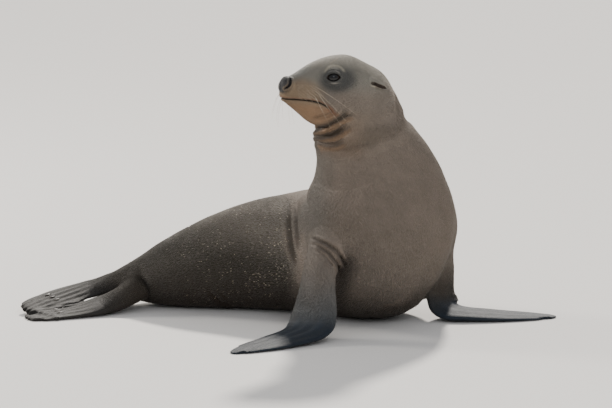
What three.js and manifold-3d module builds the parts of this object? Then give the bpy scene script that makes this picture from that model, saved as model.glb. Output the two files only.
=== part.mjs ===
// A life-size sea lion sitting on its belly with the forebody raised, the head turned back over its right
// shoulder and the hind body trailing to one side. Millimetres, +Z up, the floor at z = 0.

import * as THREE from 'three';
import { ParametricGeometry } from 'three/addons/geometries/ParametricGeometry.js';
import { mergeVertices } from 'three/addons/utils/BufferGeometryUtils.js';
import Module from 'manifold-3d';

const wasm = await Module();
wasm.setup();

// ---- driving dimensions ----------------------------------------------------------------------------------

const GAP = 0.3;
const REACH = 3000;

// How finely each loft is divided, how full its oval section is (2 is an ellipse), and how much of its length
// each rounded end takes.
const TORSO_FORM = { rings: 46, sides: 26, fullness: 2.15, startCap: 0.03, endCap: 0.04 };
const HEAD_FORM = { rings: 22, sides: 22, fullness: 2.2, startCap: 0.08, endCap: 0.06 };
const FORE_FORM = { rings: 22, sides: 14, endCap: 0.06 };
const HIND_FORM = { rings: 11, sides: 20, endCap: 0.06, digits: 5, notch: 8, corner: 16 };
const EAR_FORM = { rings: 8, sides: 10, endCap: 0.2 };
const FLIPPER_START = 0.05;
const RING_CROWDING = 0.4;

// A flipper is thicker along its leading edge by this share, and its tip is shaped from this place on.
const LEADING_BULGE = 0.3;
const TIP_START = 2 / 3;

// Each rib of the trunk and neck runs from a point on the back to a point on the belly or throat. half is the
// half-breadth across it. The list goes from the tail's tip to the inside of the skull.
const TORSO_RIBS = [
  { name: 'tail tip', back: [-634, 150, 38], belly: [-634, 150, 30], half: 8 },
  { name: 'tail', back: [-588, 160, 68], belly: [-585, 158, 30], half: 21 },
  { name: 'tail root', back: [-535, 172, 102], belly: [-535, 165, 12], half: 48 },
  { name: 'hips', back: [-472, 180, 143], belly: [-465, 170, -2], half: 82 },
  { name: 'rump', back: [-388, 184, 188], belly: [-370, 168, -6], half: 112 },
  { name: 'loins', back: [-290, 180, 226], belly: [-250, 158, -7], half: 132 },
  { name: 'waist', back: [-215, 174, 245], belly: [-130, 118, -7], half: 146 },
  { name: 'last ribs', back: [-172, 168, 254], belly: [-42, 55, -6], half: 154 },
  { name: 'mid ribs', back: [-146, 160, 260], belly: [35, -15, 22], half: 157 },
  { name: 'front ribs', back: [-127, 150, 268], belly: [80, -65, 105], half: 157 },
  { name: 'breast', back: [-112, 140, 284], belly: [94, -86, 200], half: 154 },
  { name: 'shoulders', back: [-95, 136, 312], belly: [60, -96, 270], half: 142 },
  { name: 'neck base', back: [-65, 128, 350], belly: [9, -98, 326], half: 125 },
  { name: 'low neck', back: [-42, 98, 394], belly: [-42, -98, 372], half: 108 },
  { name: 'mid neck', back: [-23, 73, 430], belly: [-83, -98, 402], half: 100 },
  { name: 'high neck', back: [8, 56, 462], belly: [-114, -68, 436], half: 86 },
  { name: 'nape', back: [4, 20, 497], belly: [-116, -50, 477], half: 66 },
  { name: 'inside skull', back: [-24, 0, 522], belly: [-80, -36, 510], half: 30 },
];

// The head's own frame: origin between the ears, forward along the muzzle, across to the animal's left, up
// through the crown.
const HEAD_ORIGIN = new THREE.Vector3(-49, -25, 500);
const HEAD_FORWARD = new THREE.Vector3(-0.876, -0.466, 0.122).normalize();
const HEAD_LEFT = new THREE.Vector3(0.469, -0.883, 0).normalize();
const HEAD_UP = new THREE.Vector3().crossVectors(HEAD_FORWARD, HEAD_LEFT).normalize();

// Ribs of the head, from behind the skull to the nose.
const HEAD_RIBS = [
  { name: 'back of skull', forward: -58, top: 0, bottom: -18, half: 14 },
  { name: 'nape ridge', forward: -48, top: 23, bottom: -42, half: 46 },
  { name: 'behind the ears', forward: -25, top: 45, bottom: -68, half: 66 },
  { name: 'ears', forward: 5, top: 57, bottom: -85, half: 73 },
  { name: 'jaw hinge', forward: 40, top: 68, bottom: -89, half: 72 },
  { name: 'crown', forward: 70, top: 66, bottom: -88, half: 65 },
  { name: 'eyes', forward: 95, top: 60, bottom: -84, half: 56 },
  { name: 'cheeks', forward: 118, top: 51, bottom: -77, half: 46 },
  { name: 'muzzle root', forward: 138, top: 39, bottom: -65, half: 38 },
  { name: 'whisker pads', forward: 157, top: 26, bottom: -53, half: 32 },
  { name: 'chin', forward: 173, top: 16, bottom: -43, half: 26 },
  { name: 'nose', forward: 185, top: 8, bottom: -35, half: 17 },
  { name: 'nose tip', forward: 191, top: -6, bottom: -24, half: 6 },
];

const EYE = { radius: 17, forward: 93, up: 22, across: 37.5, sides: 12 };
const NOSE_PAD = { centre: [177, -5.5, 0], radii: [16, 21, 21.5], sides: 12 };
const NOSTRIL = { centre: [183, 0, 15], radii: [8, 7, 2.8], sides: 8 };

// A nail on a hind digit: half-length, half-width and half-height, its place between the flipper's root and
// tip, and the places of the three across it.
const CLAW = { radii: [8, 2.4, 2], place: 0.72, digits: [-0.42, 0, 0.42], sides: 6 };

// The mouth's line on the head's side, as forward and up, from in front of the lips back to the corner.
const MOUTH_LINE = [
  [240, -30], [182, -30], [168, -28.5], [152, -28], [135, -28.5], [119, -31], [107, -36], [98, -42.5], [92, -47.5],
];
const MOUTH_DEPTH = -140;
const MOUTH_BREADTH = 200;

// The neck's top is cut through the throat and the nape.
const THROAT = { forward: 128, up: -88 };
const NAPE = { forward: -45, up: 25 };

// Planes that part the trunk: a point, and the direction towards the head.
const NECK_BASE = { at: [-10, 15, 338], towards: [-0.1, -0.1, 1] };
const CHEST_BACK = { at: [-130, 125, 125], towards: [0.8, -0.6, 0.25] };
const RUMP_FRONT = { at: [-330, 195, 100], towards: [1, -0.05, 0.1] };
const TAIL_ROOT = { at: [-548, 180, 60], towards: [1, 0.1, 0.1] };

// Ribs of the flippers: a point on the middle line, the direction of the leading edge, the half-width and the
// half-thickness there. The list goes from inside the body to the tip.
const FORE_RIGHT_RIBS = [
  { name: 'shoulder', at: [-70, 0, 252], lead: [0.65, -0.76, 0.1], width: 48, thick: 34 },
  { name: 'upper arm', at: [-114, -58, 195], lead: [0.65, -0.76, 0.1], width: 50, thick: 33 },
  { name: 'forearm', at: [-139, -106, 125], lead: [0.68, -0.74, 0], width: 46, thick: 25 },
  { name: 'wrist', at: [-149, -150, 50], lead: [0.8, -0.6, -0.1], width: 55, thick: 16 },
  { name: 'knuckles', at: [-166, -181, 17], lead: [0.72, -0.69, 0], width: 58, thick: 11 },
  { name: 'blade', at: [-225, -232, 7], lead: [0.65, -0.76, 0], width: 50, thick: 8 },
  { name: 'outer blade', at: [-280, -280, 4], lead: [0.6, -0.8, 0], width: 34, thick: 5 },
  { name: 'tip', at: [-318, -318, 2], lead: [0.5, -0.86, 0], width: 14, thick: 3 },
];
const FORE_LEFT_RIBS = [
  { name: 'shoulder', at: [58, 92, 262], lead: [0.1, -1, 0], width: 44, thick: 30 },
  { name: 'upper arm', at: [117, 94, 186], lead: [0.1, -1, 0], width: 46, thick: 28 },
  { name: 'forearm', at: [126, 76, 110], lead: [-0.4, -0.9, -0.1], width: 44, thick: 22 },
  { name: 'wrist', at: [123, 52, 46], lead: [-0.5, -0.85, -0.2], width: 51, thick: 18 },
  { name: 'knuckles', at: [146, 37, 15], lead: [-0.4, -0.9, 0], width: 57, thick: 12 },
  { name: 'blade', at: [232, 36, 7], lead: [0, -1, 0], width: 52, thick: 8 },
  { name: 'outer blade', at: [310, 38, 4], lead: [0, -1, 0], width: 36, thick: 5 },
  { name: 'tip', at: [368, 42, 2], lead: [0, -1, 0], width: 14, thick: 3 },
];
const HIND_RIGHT_RIBS = [
  { name: 'thigh', at: [-515, 130, 52], lead: [0.3, -1, -0.3], width: 34, thick: 30 },
  { name: 'ankle', at: [-575, 96, 25], lead: [0.3, -0.95, -0.3], width: 36, thick: 20 },
  { name: 'heel', at: [-638, 72, 11], lead: [0.3, -0.95, -0.1], width: 41, thick: 10 },
  { name: 'digits', at: [-702, 46, 5], lead: [0.45, -0.9, 0], width: 41, thick: 6 },
  { name: 'tip', at: [-762, 16, 2.5], lead: [0.55, -0.85, 0], width: 36, thick: 3.5 },
];
const HIND_LEFT_RIBS = [
  { name: 'thigh', at: [-520, 190, 64], lead: [0, 1, 0.1], width: 34, thick: 30 },
  { name: 'ankle', at: [-588, 174, 46], lead: [0.05, 1, 0.25], width: 36, thick: 20 },
  { name: 'heel', at: [-654, 156, 32], lead: [0.1, 0.95, 0.25], width: 38, thick: 10 },
  { name: 'digits', at: [-718, 110, 21], lead: [0.3, 0.9, 0.2], width: 36, thick: 6 },
  { name: 'tip', at: [-766, 58, 12], lead: [0.45, 0.87, 0.15], width: 30, thick: 3.5 },
];

// ---- shapes ----------------------------------------------------------------------------------------------

function vector(list) {
  return new THREE.Vector3(list[0], list[1], list[2]);
}

function headPoint(forward, up, across) {
  return HEAD_ORIGIN.clone()
    .addScaledVector(HEAD_FORWARD, forward)
    .addScaledVector(HEAD_UP, up)
    .addScaledVector(HEAD_LEFT, across);
}

function curve(points) {
  return new THREE.CatmullRomCurve3(points, false, 'catmullrom', 0.5);
}

// How wide a rounded end is, as a share of its full width, at a distance from its tip.
function rounding(distance, length) {
  const rest = 1 - Math.min(distance / length, 1);
  return Math.sqrt(1 - rest * rest);
}

// Places rings closer together at both ends of a loft.
function ringPlace(v) {
  return v - RING_CROWDING * Math.sin(2 * Math.PI * v) / (2 * Math.PI);
}

// A power that keeps its sign: it turns a circle into a fuller or slimmer oval.
function signedPower(value, power) {
  return Math.sign(value) * Math.abs(value) ** power;
}

// A closed body through ribs that each have a back point, a belly point and a half-breadth.
function bodyLoft(ribs, { rings, sides, fullness, startCap, endCap }, grow) {
  const back = curve(ribs.map((rib) => rib.back));
  const belly = curve(ribs.map((rib) => rib.belly));
  const breadth = curve(ribs.map((rib) => new THREE.Vector3(rib.half, 0, 0)));
  const centres = ribs.map((rib) => rib.back.clone().add(rib.belly).multiplyScalar(0.5));
  const crosswise = curve(ribs.map((rib, i) => {
    const along = centres[Math.min(i + 1, ribs.length - 1)].clone().sub(centres[Math.max(i - 1, 0)]);
    return along.cross(rib.back.clone().sub(rib.belly)).normalize();
  }));
  const surface = (u, v, target) => {
    const t = ringPlace(v);
    const upward = back.getPoint(t).sub(belly.getPoint(t)).multiplyScalar(0.5);
    const end = rounding(t, startCap) * rounding(1 - t, endCap);
    const angle = -2 * Math.PI * u;
    const height = (upward.length() + grow) * end;
    const width = (breadth.getPoint(t).x + grow) * end;
    upward.normalize();
    const sideways = crosswise.getPoint(t);
    sideways.addScaledVector(upward, -sideways.dot(upward)).normalize();
    target.addVectors(back.getPoint(t), belly.getPoint(t)).multiplyScalar(0.5);
    target.addScaledVector(upward, height * signedPower(Math.cos(angle), 2 / fullness));
    target.addScaledVector(sideways, width * signedPower(Math.sin(angle), 2 / fullness));
  };
  return solidOf(new ParametricGeometry(surface, sides, rings));
}

// The middle line, directions and sizes of a flipper at a place between its root (0) and its tip (1).
function flipperFrame(ribs, t) {
  const middle = curve(ribs.map((rib) => vector(rib.at)));
  const size = curve(ribs.map((rib) => new THREE.Vector3(rib.width, rib.thick, 0))).getPoint(t);
  const along = middle.getTangent(t);
  const lead = curve(ribs.map((rib) => vector(rib.lead))).getPoint(t);
  lead.addScaledVector(along, -lead.dot(along)).normalize();
  const flat = new THREE.Vector3().crossVectors(along, lead);
  return { at: middle.getPoint(t), along, lead, flat, width: size.x, thick: size.y };
}

// A closed flipper through ribs that each have a middle point, a leading direction, a half-width and a
// half-thickness. A pointed one narrows to its tip. The other kind ends in an edge as wide as the last rib,
// with its corners set back and a notch between each two digits.
function flipperLoft(ribs, { rings, sides, endCap, digits = 0, notch = 0, corner = 0 }) {
  const surface = (u, v, target) => {
    const t = ringPlace(v);
    const frame = flipperFrame(ribs, t);
    const start = rounding(t, FLIPPER_START);
    const end = rounding(1 - t, endCap);
    const angle = 2 * Math.PI * u;
    const across = Math.cos(angle);
    const width = frame.width * start * (digits > 0 ? 1 : end);
    const thick = frame.thick * start * end * (1 + LEADING_BULGE * across * t);
    const web = 0.5 - 0.5 * Math.cos(Math.PI * digits * (across + 1));
    const tip = Math.max(0, t - TIP_START) / (1 - TIP_START);
    const setBack = tip * (notch * web + corner * across ** 4);
    target.copy(frame.at);
    target.addScaledVector(frame.lead, width * across);
    target.addScaledVector(frame.flat, thick * Math.sin(angle));
    target.addScaledVector(frame.along, -setBack);
  };
  return solidOf(new ParametricGeometry(surface, sides, rings));
}

// An ellipsoid with its radii along three directions.
function ellipsoid(centre, directions, radii, sides) {
  const geometry = new THREE.SphereGeometry(1, sides, Math.round(sides * 0.66));
  const [first, second, third] = directions.map((direction, i) => direction.clone().multiplyScalar(radii[i]));
  const placing = new THREE.Matrix4().makeBasis(first, second, third);
  placing.setPosition(centre);
  geometry.applyMatrix4(placing);
  return solidOf(geometry);
}

function headEllipsoid(place, radii, sides) {
  return ellipsoid(headPoint(...place), [HEAD_FORWARD, HEAD_UP, HEAD_LEFT], radii, sides);
}

// ---- solids: closed meshes that can be joined and cut ----------------------------------------------------

function solidOf(geometry) {
  const bare = geometry.clone();
  bare.deleteAttribute('normal');
  bare.deleteAttribute('uv');
  const merged = mergeVertices(bare, 1e-3);
  const position = merged.attributes.position.array;
  const index = merged.index.array;
  const corner = (i) => new THREE.Vector3().fromArray(position, 3 * index[i]);
  const faces = [];
  let volume = 0;
  for (let i = 0; i < index.length; i += 3) {
    const [a, b, c] = [index[i], index[i + 1], index[i + 2]];
    if (a !== b && b !== c && c !== a) {
      faces.push([a, b, c]);
      volume += corner(i).dot(corner(i + 1).cross(corner(i + 2)));
    }
  }
  const outward = volume > 0 ? faces : faces.map(([a, b, c]) => [a, c, b]);
  return new wasm.Manifold(new wasm.Mesh({
    numProp: 3,
    vertProperties: new Float32Array(position),
    triVerts: new Uint32Array(outward.flat()),
  }));
}

function geometryOf(solid) {
  const mesh = solid.getMesh();
  const geometry = new THREE.BufferGeometry();
  geometry.setAttribute('position', new THREE.BufferAttribute(new Float32Array(mesh.vertProperties), 3));
  geometry.setIndex(new THREE.BufferAttribute(new Uint32Array(mesh.triVerts), 1));
  geometry.computeVertexNormals();
  return geometry;
}

// Everything on one side of a plane, starting at a distance past it.
function halfSpace(point, direction, distance) {
  const geometry = new THREE.BoxGeometry(REACH, REACH, REACH);
  geometry.translate(0, 0, REACH / 2 + distance);
  const turn = new THREE.Quaternion().setFromUnitVectors(new THREE.Vector3(0, 0, 1), direction);
  geometry.applyQuaternion(turn);
  geometry.translate(point.x, point.y, point.z);
  return solidOf(geometry);
}

// Parts a solid by a plane, leaving the gap between the two pieces.
function part(solid, point, direction) {
  const towards = direction.clone().normalize();
  return [
    solid.intersect(halfSpace(point, towards, GAP / 2)),
    solid.subtract(halfSpace(point, towards, -GAP / 2)),
  ];
}

const UP = new THREE.Vector3(0, 0, 1);
const aboveFloor = halfSpace(new THREE.Vector3(), UP, 0);

// ---- body ------------------------------------------------------------------------------------------------

const torsoRibs = TORSO_RIBS.map((rib) => ({
  back: vector(rib.back),
  belly: vector(rib.belly),
  half: rib.half,
}));
const headRibs = HEAD_RIBS.map((rib) => ({
  back: headPoint(rib.forward, rib.top, 0),
  belly: headPoint(rib.forward, rib.bottom, 0),
  half: rib.half,
}));

function torsoSolid(grow) {
  return bodyLoft(torsoRibs, TORSO_FORM, grow);
}

function headSolid(grow) {
  return bodyLoft(headRibs, HEAD_FORM, grow);
}

const whole = torsoSolid(0).add(headSolid(0)).intersect(aboveFloor);
// What grows out of the body is cut back to this slightly larger copy of it.
const bodyRoom = torsoSolid(GAP).add(headSolid(GAP));

// ---- head ------------------------------------------------------------------------------------------------

function mouthRegion(shift) {
  const outline = new THREE.Shape(MOUTH_LINE.map(([forward, up]) => new THREE.Vector2(forward, up + shift)));
  const [cornerForward] = MOUTH_LINE[MOUTH_LINE.length - 1];
  outline.lineTo(cornerForward - shift, MOUTH_DEPTH);
  outline.lineTo(MOUTH_LINE[0][0], MOUTH_DEPTH);
  const geometry = new THREE.ExtrudeGeometry(outline, { depth: MOUTH_BREADTH, bevelEnabled: false });
  geometry.translate(0, 0, -MOUTH_BREADTH / 2);
  const placing = new THREE.Matrix4().makeBasis(HEAD_FORWARD, HEAD_UP, HEAD_LEFT);
  placing.setPosition(HEAD_ORIGIN);
  geometry.applyMatrix4(placing);
  return solidOf(geometry);
}

function eyeball(side, radius) {
  return headEllipsoid([EYE.forward, EYE.up, side * EYE.across], [radius, radius, radius], EYE.sides);
}

const throat = headPoint(THROAT.forward, THROAT.up, 0);
const nape = headPoint(NAPE.forward, NAPE.up, 0);
const headCut = new THREE.Vector3().crossVectors(throat.clone().sub(nape), HEAD_LEFT).normalize();
if (headCut.dot(HEAD_UP) < 0) {
  headCut.negate();
}
const [wholeHead, body] = part(whole, throat, headCut);

const jaw = wholeHead.intersect(mouthRegion(0));
let skull = wholeHead.subtract(mouthRegion(GAP));
const padRoom = NOSE_PAD.radii.map((radius) => radius + GAP);
let nose = skull.intersect(headEllipsoid(NOSE_PAD.centre, NOSE_PAD.radii, NOSE_PAD.sides));
skull = skull.subtract(headEllipsoid(NOSE_PAD.centre, padRoom, NOSE_PAD.sides));
for (const side of [-1, 1]) {
  const [forward, up, across] = NOSTRIL.centre;
  nose = nose.subtract(headEllipsoid([forward, up, side * across], NOSTRIL.radii, NOSTRIL.sides));
  skull = skull.subtract(eyeball(side, EYE.radius + GAP));
}

function earRibs(side) {
  const place = (forward, up, across) => headPoint(forward, up, side * across).toArray();
  const lead = HEAD_UP.clone().addScaledVector(HEAD_FORWARD, 0.4).toArray();
  return [
    { at: place(20, 24, 57), lead, width: 6.5, thick: 5 },
    { at: place(11, 21, 67), lead, width: 7.5, thick: 5.5 },
    { at: place(0, 16, 74), lead, width: 6.5, thick: 5 },
    { at: place(-13, 10, 78), lead, width: 3, thick: 2.5 },
  ];
}

function ear(side) {
  return flipperLoft(earRibs(side), EAR_FORM).subtract(bodyRoom);
}

// ---- trunk and flippers ----------------------------------------------------------------------------------

const [neck, trunk] = part(body, vector(NECK_BASE.at), vector(NECK_BASE.towards));
const [chest, afterChest] = part(trunk, vector(CHEST_BACK.at), vector(CHEST_BACK.towards));
const [waist, afterWaist] = part(afterChest, vector(RUMP_FRONT.at), vector(RUMP_FRONT.towards));
const [rump, tail] = part(afterWaist, vector(TAIL_ROOT.at), vector(TAIL_ROOT.towards));

function foreflipper(ribs) {
  const outside = flipperLoft(ribs, FORE_FORM).subtract(bodyRoom).intersect(aboveFloor);
  const wrist = vector(ribs[3].at);
  const towards = vector(ribs[4].at).sub(vector(ribs[2].at));
  return part(outside, wrist, towards);
}

function hindFlipper(ribs) {
  return flipperLoft(ribs, HIND_FORM).subtract(bodyRoom).intersect(aboveFloor);
}

// The nails lie on the upper side of the three middle digits, half sunk in them.
function hindClaws(ribs, grow) {
  const frame = flipperFrame(ribs, CLAW.place);
  const upward = frame.flat.clone().multiplyScalar(Math.sign(frame.flat.z));
  return CLAW.digits.map((across) => {
    const centre = frame.at.clone().addScaledVector(frame.lead, frame.width * across);
    centre.addScaledVector(upward, frame.thick * Math.sqrt(1 - across * across));
    const radii = CLAW.radii.map((radius) => radius + grow);
    return ellipsoid(centre, [frame.along, frame.lead, upward], radii, CLAW.sides);
  });
}

function withoutClaws(flipper, ribs) {
  return hindClaws(ribs, GAP).reduce((rest, claw) => rest.subtract(claw), flipper);
}

const hindRight = withoutClaws(hindFlipper(HIND_RIGHT_RIBS), HIND_RIGHT_RIBS);
const hindLeft = withoutClaws(hindFlipper(HIND_LEFT_RIBS), HIND_LEFT_RIBS);
const [bladeRight, armRight] = foreflipper(FORE_RIGHT_RIBS);
const [bladeLeft, armLeft] = foreflipper(FORE_LEFT_RIBS);

// ---- model -----------------------------------------------------------------------------------------------

function finish(color, roughness) {
  return new THREE.MeshStandardMaterial({ color, roughness, metalness: 0 });
}

const coat = finish('#5f574f', 0.75);
const coatDark = finish('#4a443e', 0.75);
const muzzleCoat = finish('#8a7460', 0.8);
const nakedSkin = finish('#4b4e52', 0.6);
const noseSkin = finish('#2c2b2c', 0.45);
const eyeGloss = finish('#17110d', 0.08);
const clawHorn = finish('#3a352f', 0.4);

const model = new THREE.Group();

function addNode(name, solid, material) {
  const mesh = new THREE.Mesh(geometryOf(solid), material);
  mesh.name = name;
  model.add(mesh);
}

addNode('head', skull, coat);
addNode('lower_jaw', jaw, muzzleCoat);
addNode('nose', nose, noseSkin);
addNode('neck', neck, coat);
addNode('chest', chest, coat);
addNode('trunk', waist, coatDark);
addNode('rump', rump, coatDark);
addNode('tail', tail, coatDark);
addNode('foreflipper_right_arm', armRight, coat);
addNode('foreflipper_right_blade', bladeRight, nakedSkin);
addNode('foreflipper_left_arm', armLeft, coat);
addNode('foreflipper_left_blade', bladeLeft, nakedSkin);
addNode('hind_flipper_right', hindRight, nakedSkin);
addNode('hind_flipper_left', hindLeft, nakedSkin);
for (const [side, ribs] of [['right', HIND_RIGHT_RIBS], ['left', HIND_LEFT_RIBS]]) {
  hindClaws(ribs, 0).forEach((claw, i) => addNode(`claw_${side}_${i + 2}`, claw, clawHorn));
}
addNode('eye_left', eyeball(1, EYE.radius), eyeGloss);
addNode('eye_right', eyeball(-1, EYE.radius), eyeGloss);
addNode('ear_left', ear(1), nakedSkin);
addNode('ear_right', ear(-1), nakedSkin);

// The footprint's centre stands at the origin.
const box = new THREE.Box3().setFromObject(model);
const centre = box.getCenter(new THREE.Vector3());
model.position.set(-centre.x, -centre.y, 0);

export default model;
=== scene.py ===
"""A young sea lion sitting up on its foreflippers, life size, made to stand in a museum.

Shapes are worked out in millimetres, in the frame the ribs below are given in, and put in place in metres.
"""

import math
from concurrent.futures import ThreadPoolExecutor

import bpy
import numpy as np
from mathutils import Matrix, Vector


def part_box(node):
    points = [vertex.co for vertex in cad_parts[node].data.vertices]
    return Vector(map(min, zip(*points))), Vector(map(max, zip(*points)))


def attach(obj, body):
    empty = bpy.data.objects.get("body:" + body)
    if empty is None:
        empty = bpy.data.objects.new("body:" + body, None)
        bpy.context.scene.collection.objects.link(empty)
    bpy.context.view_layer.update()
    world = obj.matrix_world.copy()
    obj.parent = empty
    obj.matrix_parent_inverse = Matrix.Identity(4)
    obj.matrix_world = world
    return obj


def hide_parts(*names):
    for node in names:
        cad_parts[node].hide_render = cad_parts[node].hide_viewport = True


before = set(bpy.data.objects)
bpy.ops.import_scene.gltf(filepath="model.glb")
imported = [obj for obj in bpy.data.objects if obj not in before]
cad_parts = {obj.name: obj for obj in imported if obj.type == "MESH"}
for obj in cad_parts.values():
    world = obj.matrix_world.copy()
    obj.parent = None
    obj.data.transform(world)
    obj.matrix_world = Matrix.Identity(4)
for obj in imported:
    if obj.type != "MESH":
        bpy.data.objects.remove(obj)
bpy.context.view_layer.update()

MM = 0.001

# ---- the body's ribs ---------------------------------------------------------------------------------------

# back point, belly point and half-breadth, from the tail's tip to the top of the neck
TORSO_RIBS = [
    ((-634, 150, 38), (-634, 150, 30), 8),
    ((-588, 160, 68), (-585, 158, 30), 21),
    ((-535, 172, 102), (-535, 165, 12), 48),
    ((-472, 180, 143), (-465, 170, -2), 82),
    ((-388, 184, 188), (-370, 168, -6), 112),
    ((-290, 180, 226), (-250, 158, -7), 132),
    ((-215, 174, 245), (-130, 118, -7), 146),
    ((-172, 168, 254), (-42, 55, -6), 154),
    ((-146, 160, 260), (35, -15, 22), 157),
    ((-127, 150, 268), (80, -65, 105), 157),
    ((-112, 140, 284), (94, -86, 200), 154),
    ((-95, 136, 312), (60, -96, 270), 142),
    ((-65, 128, 350), (9, -98, 326), 125),
    ((-42, 98, 394), (-42, -98, 372), 108),
    ((-23, 73, 430), (-83, -98, 402), 100),
    ((8, 56, 462), (-114, -68, 436), 86),
    ((4, 20, 497), (-116, -50, 477), 66),
    ((-24, 0, 522), (-80, -36, 510), 30),
]

# forward, top, bottom and half-breadth, from the nape to the nose
HEAD_RIBS = [
    (-58, 0, -18, 14),
    (-48, 23, -42, 46),
    (-25, 45, -68, 66),
    (5, 57, -85, 73),
    (40, 68, -89, 72),
    (70, 66, -88, 65),
    (95, 60, -84, 56),
    (118, 51, -77, 46),
    (138, 39, -65, 38),
    (157, 26, -53, 32),
    (173, 16, -43, 26),
    (185, 8, -35, 17),
    (191, -6, -24, 6),
]
HEAD_ORIGIN = np.array([-49.0, -25.0, 500.0])
HEAD_FORWARD = np.array([-0.876, -0.466, 0.122])
HEAD_LEFT = np.array([0.469, -0.883, 0.0])

# middle point, leading direction, half-width and half-thickness, from the shoulder to the tip
FORE_RIGHT_RIBS = [
    ((-70, 0, 252), (0.65, -0.76, 0.1), 48, 34),
    ((-114, -58, 195), (0.65, -0.76, 0.1), 50, 33),
    ((-139, -106, 125), (0.68, -0.74, 0), 46, 25),
    ((-149, -150, 50), (0.8, -0.6, -0.1), 55, 16),
    ((-166, -181, 17), (0.72, -0.69, 0), 58, 11),
    ((-225, -232, 7), (0.65, -0.76, 0), 50, 8),
    ((-280, -280, 4), (0.6, -0.8, 0), 34, 5),
    ((-318, -318, 2), (0.5, -0.86, 0), 14, 3),
]
FORE_LEFT_RIBS = [
    ((58, 92, 262), (0.1, -1, 0), 44, 30),
    ((117, 94, 186), (0.1, -1, 0), 46, 28),
    ((126, 76, 110), (-0.4, -0.9, -0.1), 44, 22),
    ((123, 52, 46), (-0.5, -0.85, -0.2), 51, 18),
    ((146, 37, 15), (-0.4, -0.9, 0), 57, 12),
    ((232, 36, 7), (0, -1, 0), 52, 8),
    ((310, 38, 4), (0, -1, 0), 36, 5),
    ((368, 42, 2), (0, -1, 0), 14, 3),
]
HIND_RIGHT_RIBS = [
    ((-515, 130, 52), (0.3, -1, -0.3), 34, 30),
    ((-575, 96, 25), (0.3, -0.95, -0.3), 36, 20),
    ((-638, 72, 11), (0.3, -0.95, -0.1), 41, 10),
    ((-702, 46, 5), (0.45, -0.9, 0), 41, 6),
    ((-762, 16, 2.5), (0.55, -0.85, 0), 36, 3.5),
]
HIND_LEFT_RIBS = [
    ((-520, 190, 64), (0, 1, 0.1), 34, 30),
    ((-588, 174, 46), (0.05, 1, 0.25), 36, 20),
    ((-654, 156, 32), (0.1, 0.95, 0.25), 38, 10),
    ((-718, 110, 21), (0.3, 0.9, 0.2), 36, 6),
    ((-766, 58, 12), (0.45, 0.87, 0.15), 30, 3.5),
]
# an ear, in the head's own forward, up and across
EAR_RIBS = [
    ((20, 24, 57), (0.4, 1, 0), 6.5, 5),
    ((11, 21, 67), (0.4, 1, 0), 7.5, 5.5),
    ((0, 16, 74), (0.4, 1, 0), 6.5, 5),
    ((-13, 10, 78), (0.4, 1, 0), 3, 2.5),
]

# ---- arithmetic on whole arrays -----------------------------------------------------------------------------


def unit(vectors):
    """vectors / |vectors|"""
    return vectors / np.maximum(np.linalg.norm(vectors, axis=-1, keepdims=True), 1e-12)


def dot(first, second):
    return np.einsum("...i,...i->...", first, second)


def ease(low, high, value):
    """0 below low, 1 above high, and 3u^2 - 2u^3 between them."""
    u = np.clip((value - low) / (high - low), 0, 1)
    return u * u * (3 - 2 * u)


def hill(value, width):
    """exp(-(value / width)^2)"""
    return np.exp(-np.square(value / width))


def signed_power(value, power):
    return np.sign(value) * np.abs(value) ** power


def spline(points, t):
    """The Catmull-Rom curve through points, for each t from 0 (first) to 1 (last). Its ends run straight on."""
    p = np.asarray(points, float).reshape(len(points), -1)
    p = np.vstack([2 * p[0] - p[1], p, 2 * p[-1] - p[-2]])
    place = np.clip(t, 0, 1) * (len(p) - 3)
    i = np.minimum(place.astype(int), len(p) - 4)
    u = (place - i)[:, None]
    a, b, c, d = p[i], p[i + 1], p[i + 2], p[i + 3]
    return 0.5 * (2 * b + (c - a) * u + (2 * a - 5 * b + 4 * c - d) * u**2 + (3 * b - a - 3 * c + d) * u**3)


def rounded(distance, length):
    """sqrt(1 - (1 - distance / length)^2): the share of its full width that a rounded end has."""
    rest = 1 - np.clip(distance / length, 0, 1)
    return np.sqrt(1 - rest * rest)


def join(first, second, k):
    """The smooth lesser of two distances: min(a, b) - k h (1 - h), where h = 1/2 + (b - a) / 2k kept in 0..1."""
    h = np.clip(0.5 + 0.5 * (second - first) / k, 0, 1)
    return second + (first - second) * h - k * h * (1 - h)


def carve(body, tool, k):
    """The body with the tool's shape taken away: the smooth greater of body and -tool."""
    return -join(-body, tool, k)


def path_distance(p, path):
    """How far each point is from a line of straight pieces, and how far along it (0 to 1) the nearest place is."""
    path = np.asarray(path, float)
    best = np.full(len(p), 1e9)
    place = np.zeros(len(p))
    for i in range(len(path) - 1):
        a, run = path[i], path[i + 1] - path[i]
        u = np.clip((p - a) @ run / (run @ run), 0, 1)
        away = np.linalg.norm(p - a - u[:, None] * run, axis=1)
        nearer = away < best
        best = np.where(nearer, away, best)
        place = np.where(nearer, (i + u) / (len(path) - 1), place)
    return best, place


HEAD_UP = np.cross(HEAD_FORWARD, HEAD_LEFT)
HEAD_AXES = np.stack([HEAD_FORWARD, HEAD_UP, HEAD_LEFT])


def head_place(p):
    """A point's forward, up and across in the head."""
    return (p - HEAD_ORIGIN) @ HEAD_AXES.T


def head_point(q):
    """The point at a place in the head given as forward, up and across."""
    return HEAD_ORIGIN + np.asarray(q, float) @ HEAD_AXES


# ---- lofts --------------------------------------------------------------------------------------------------

CHUNK = 20000


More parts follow.
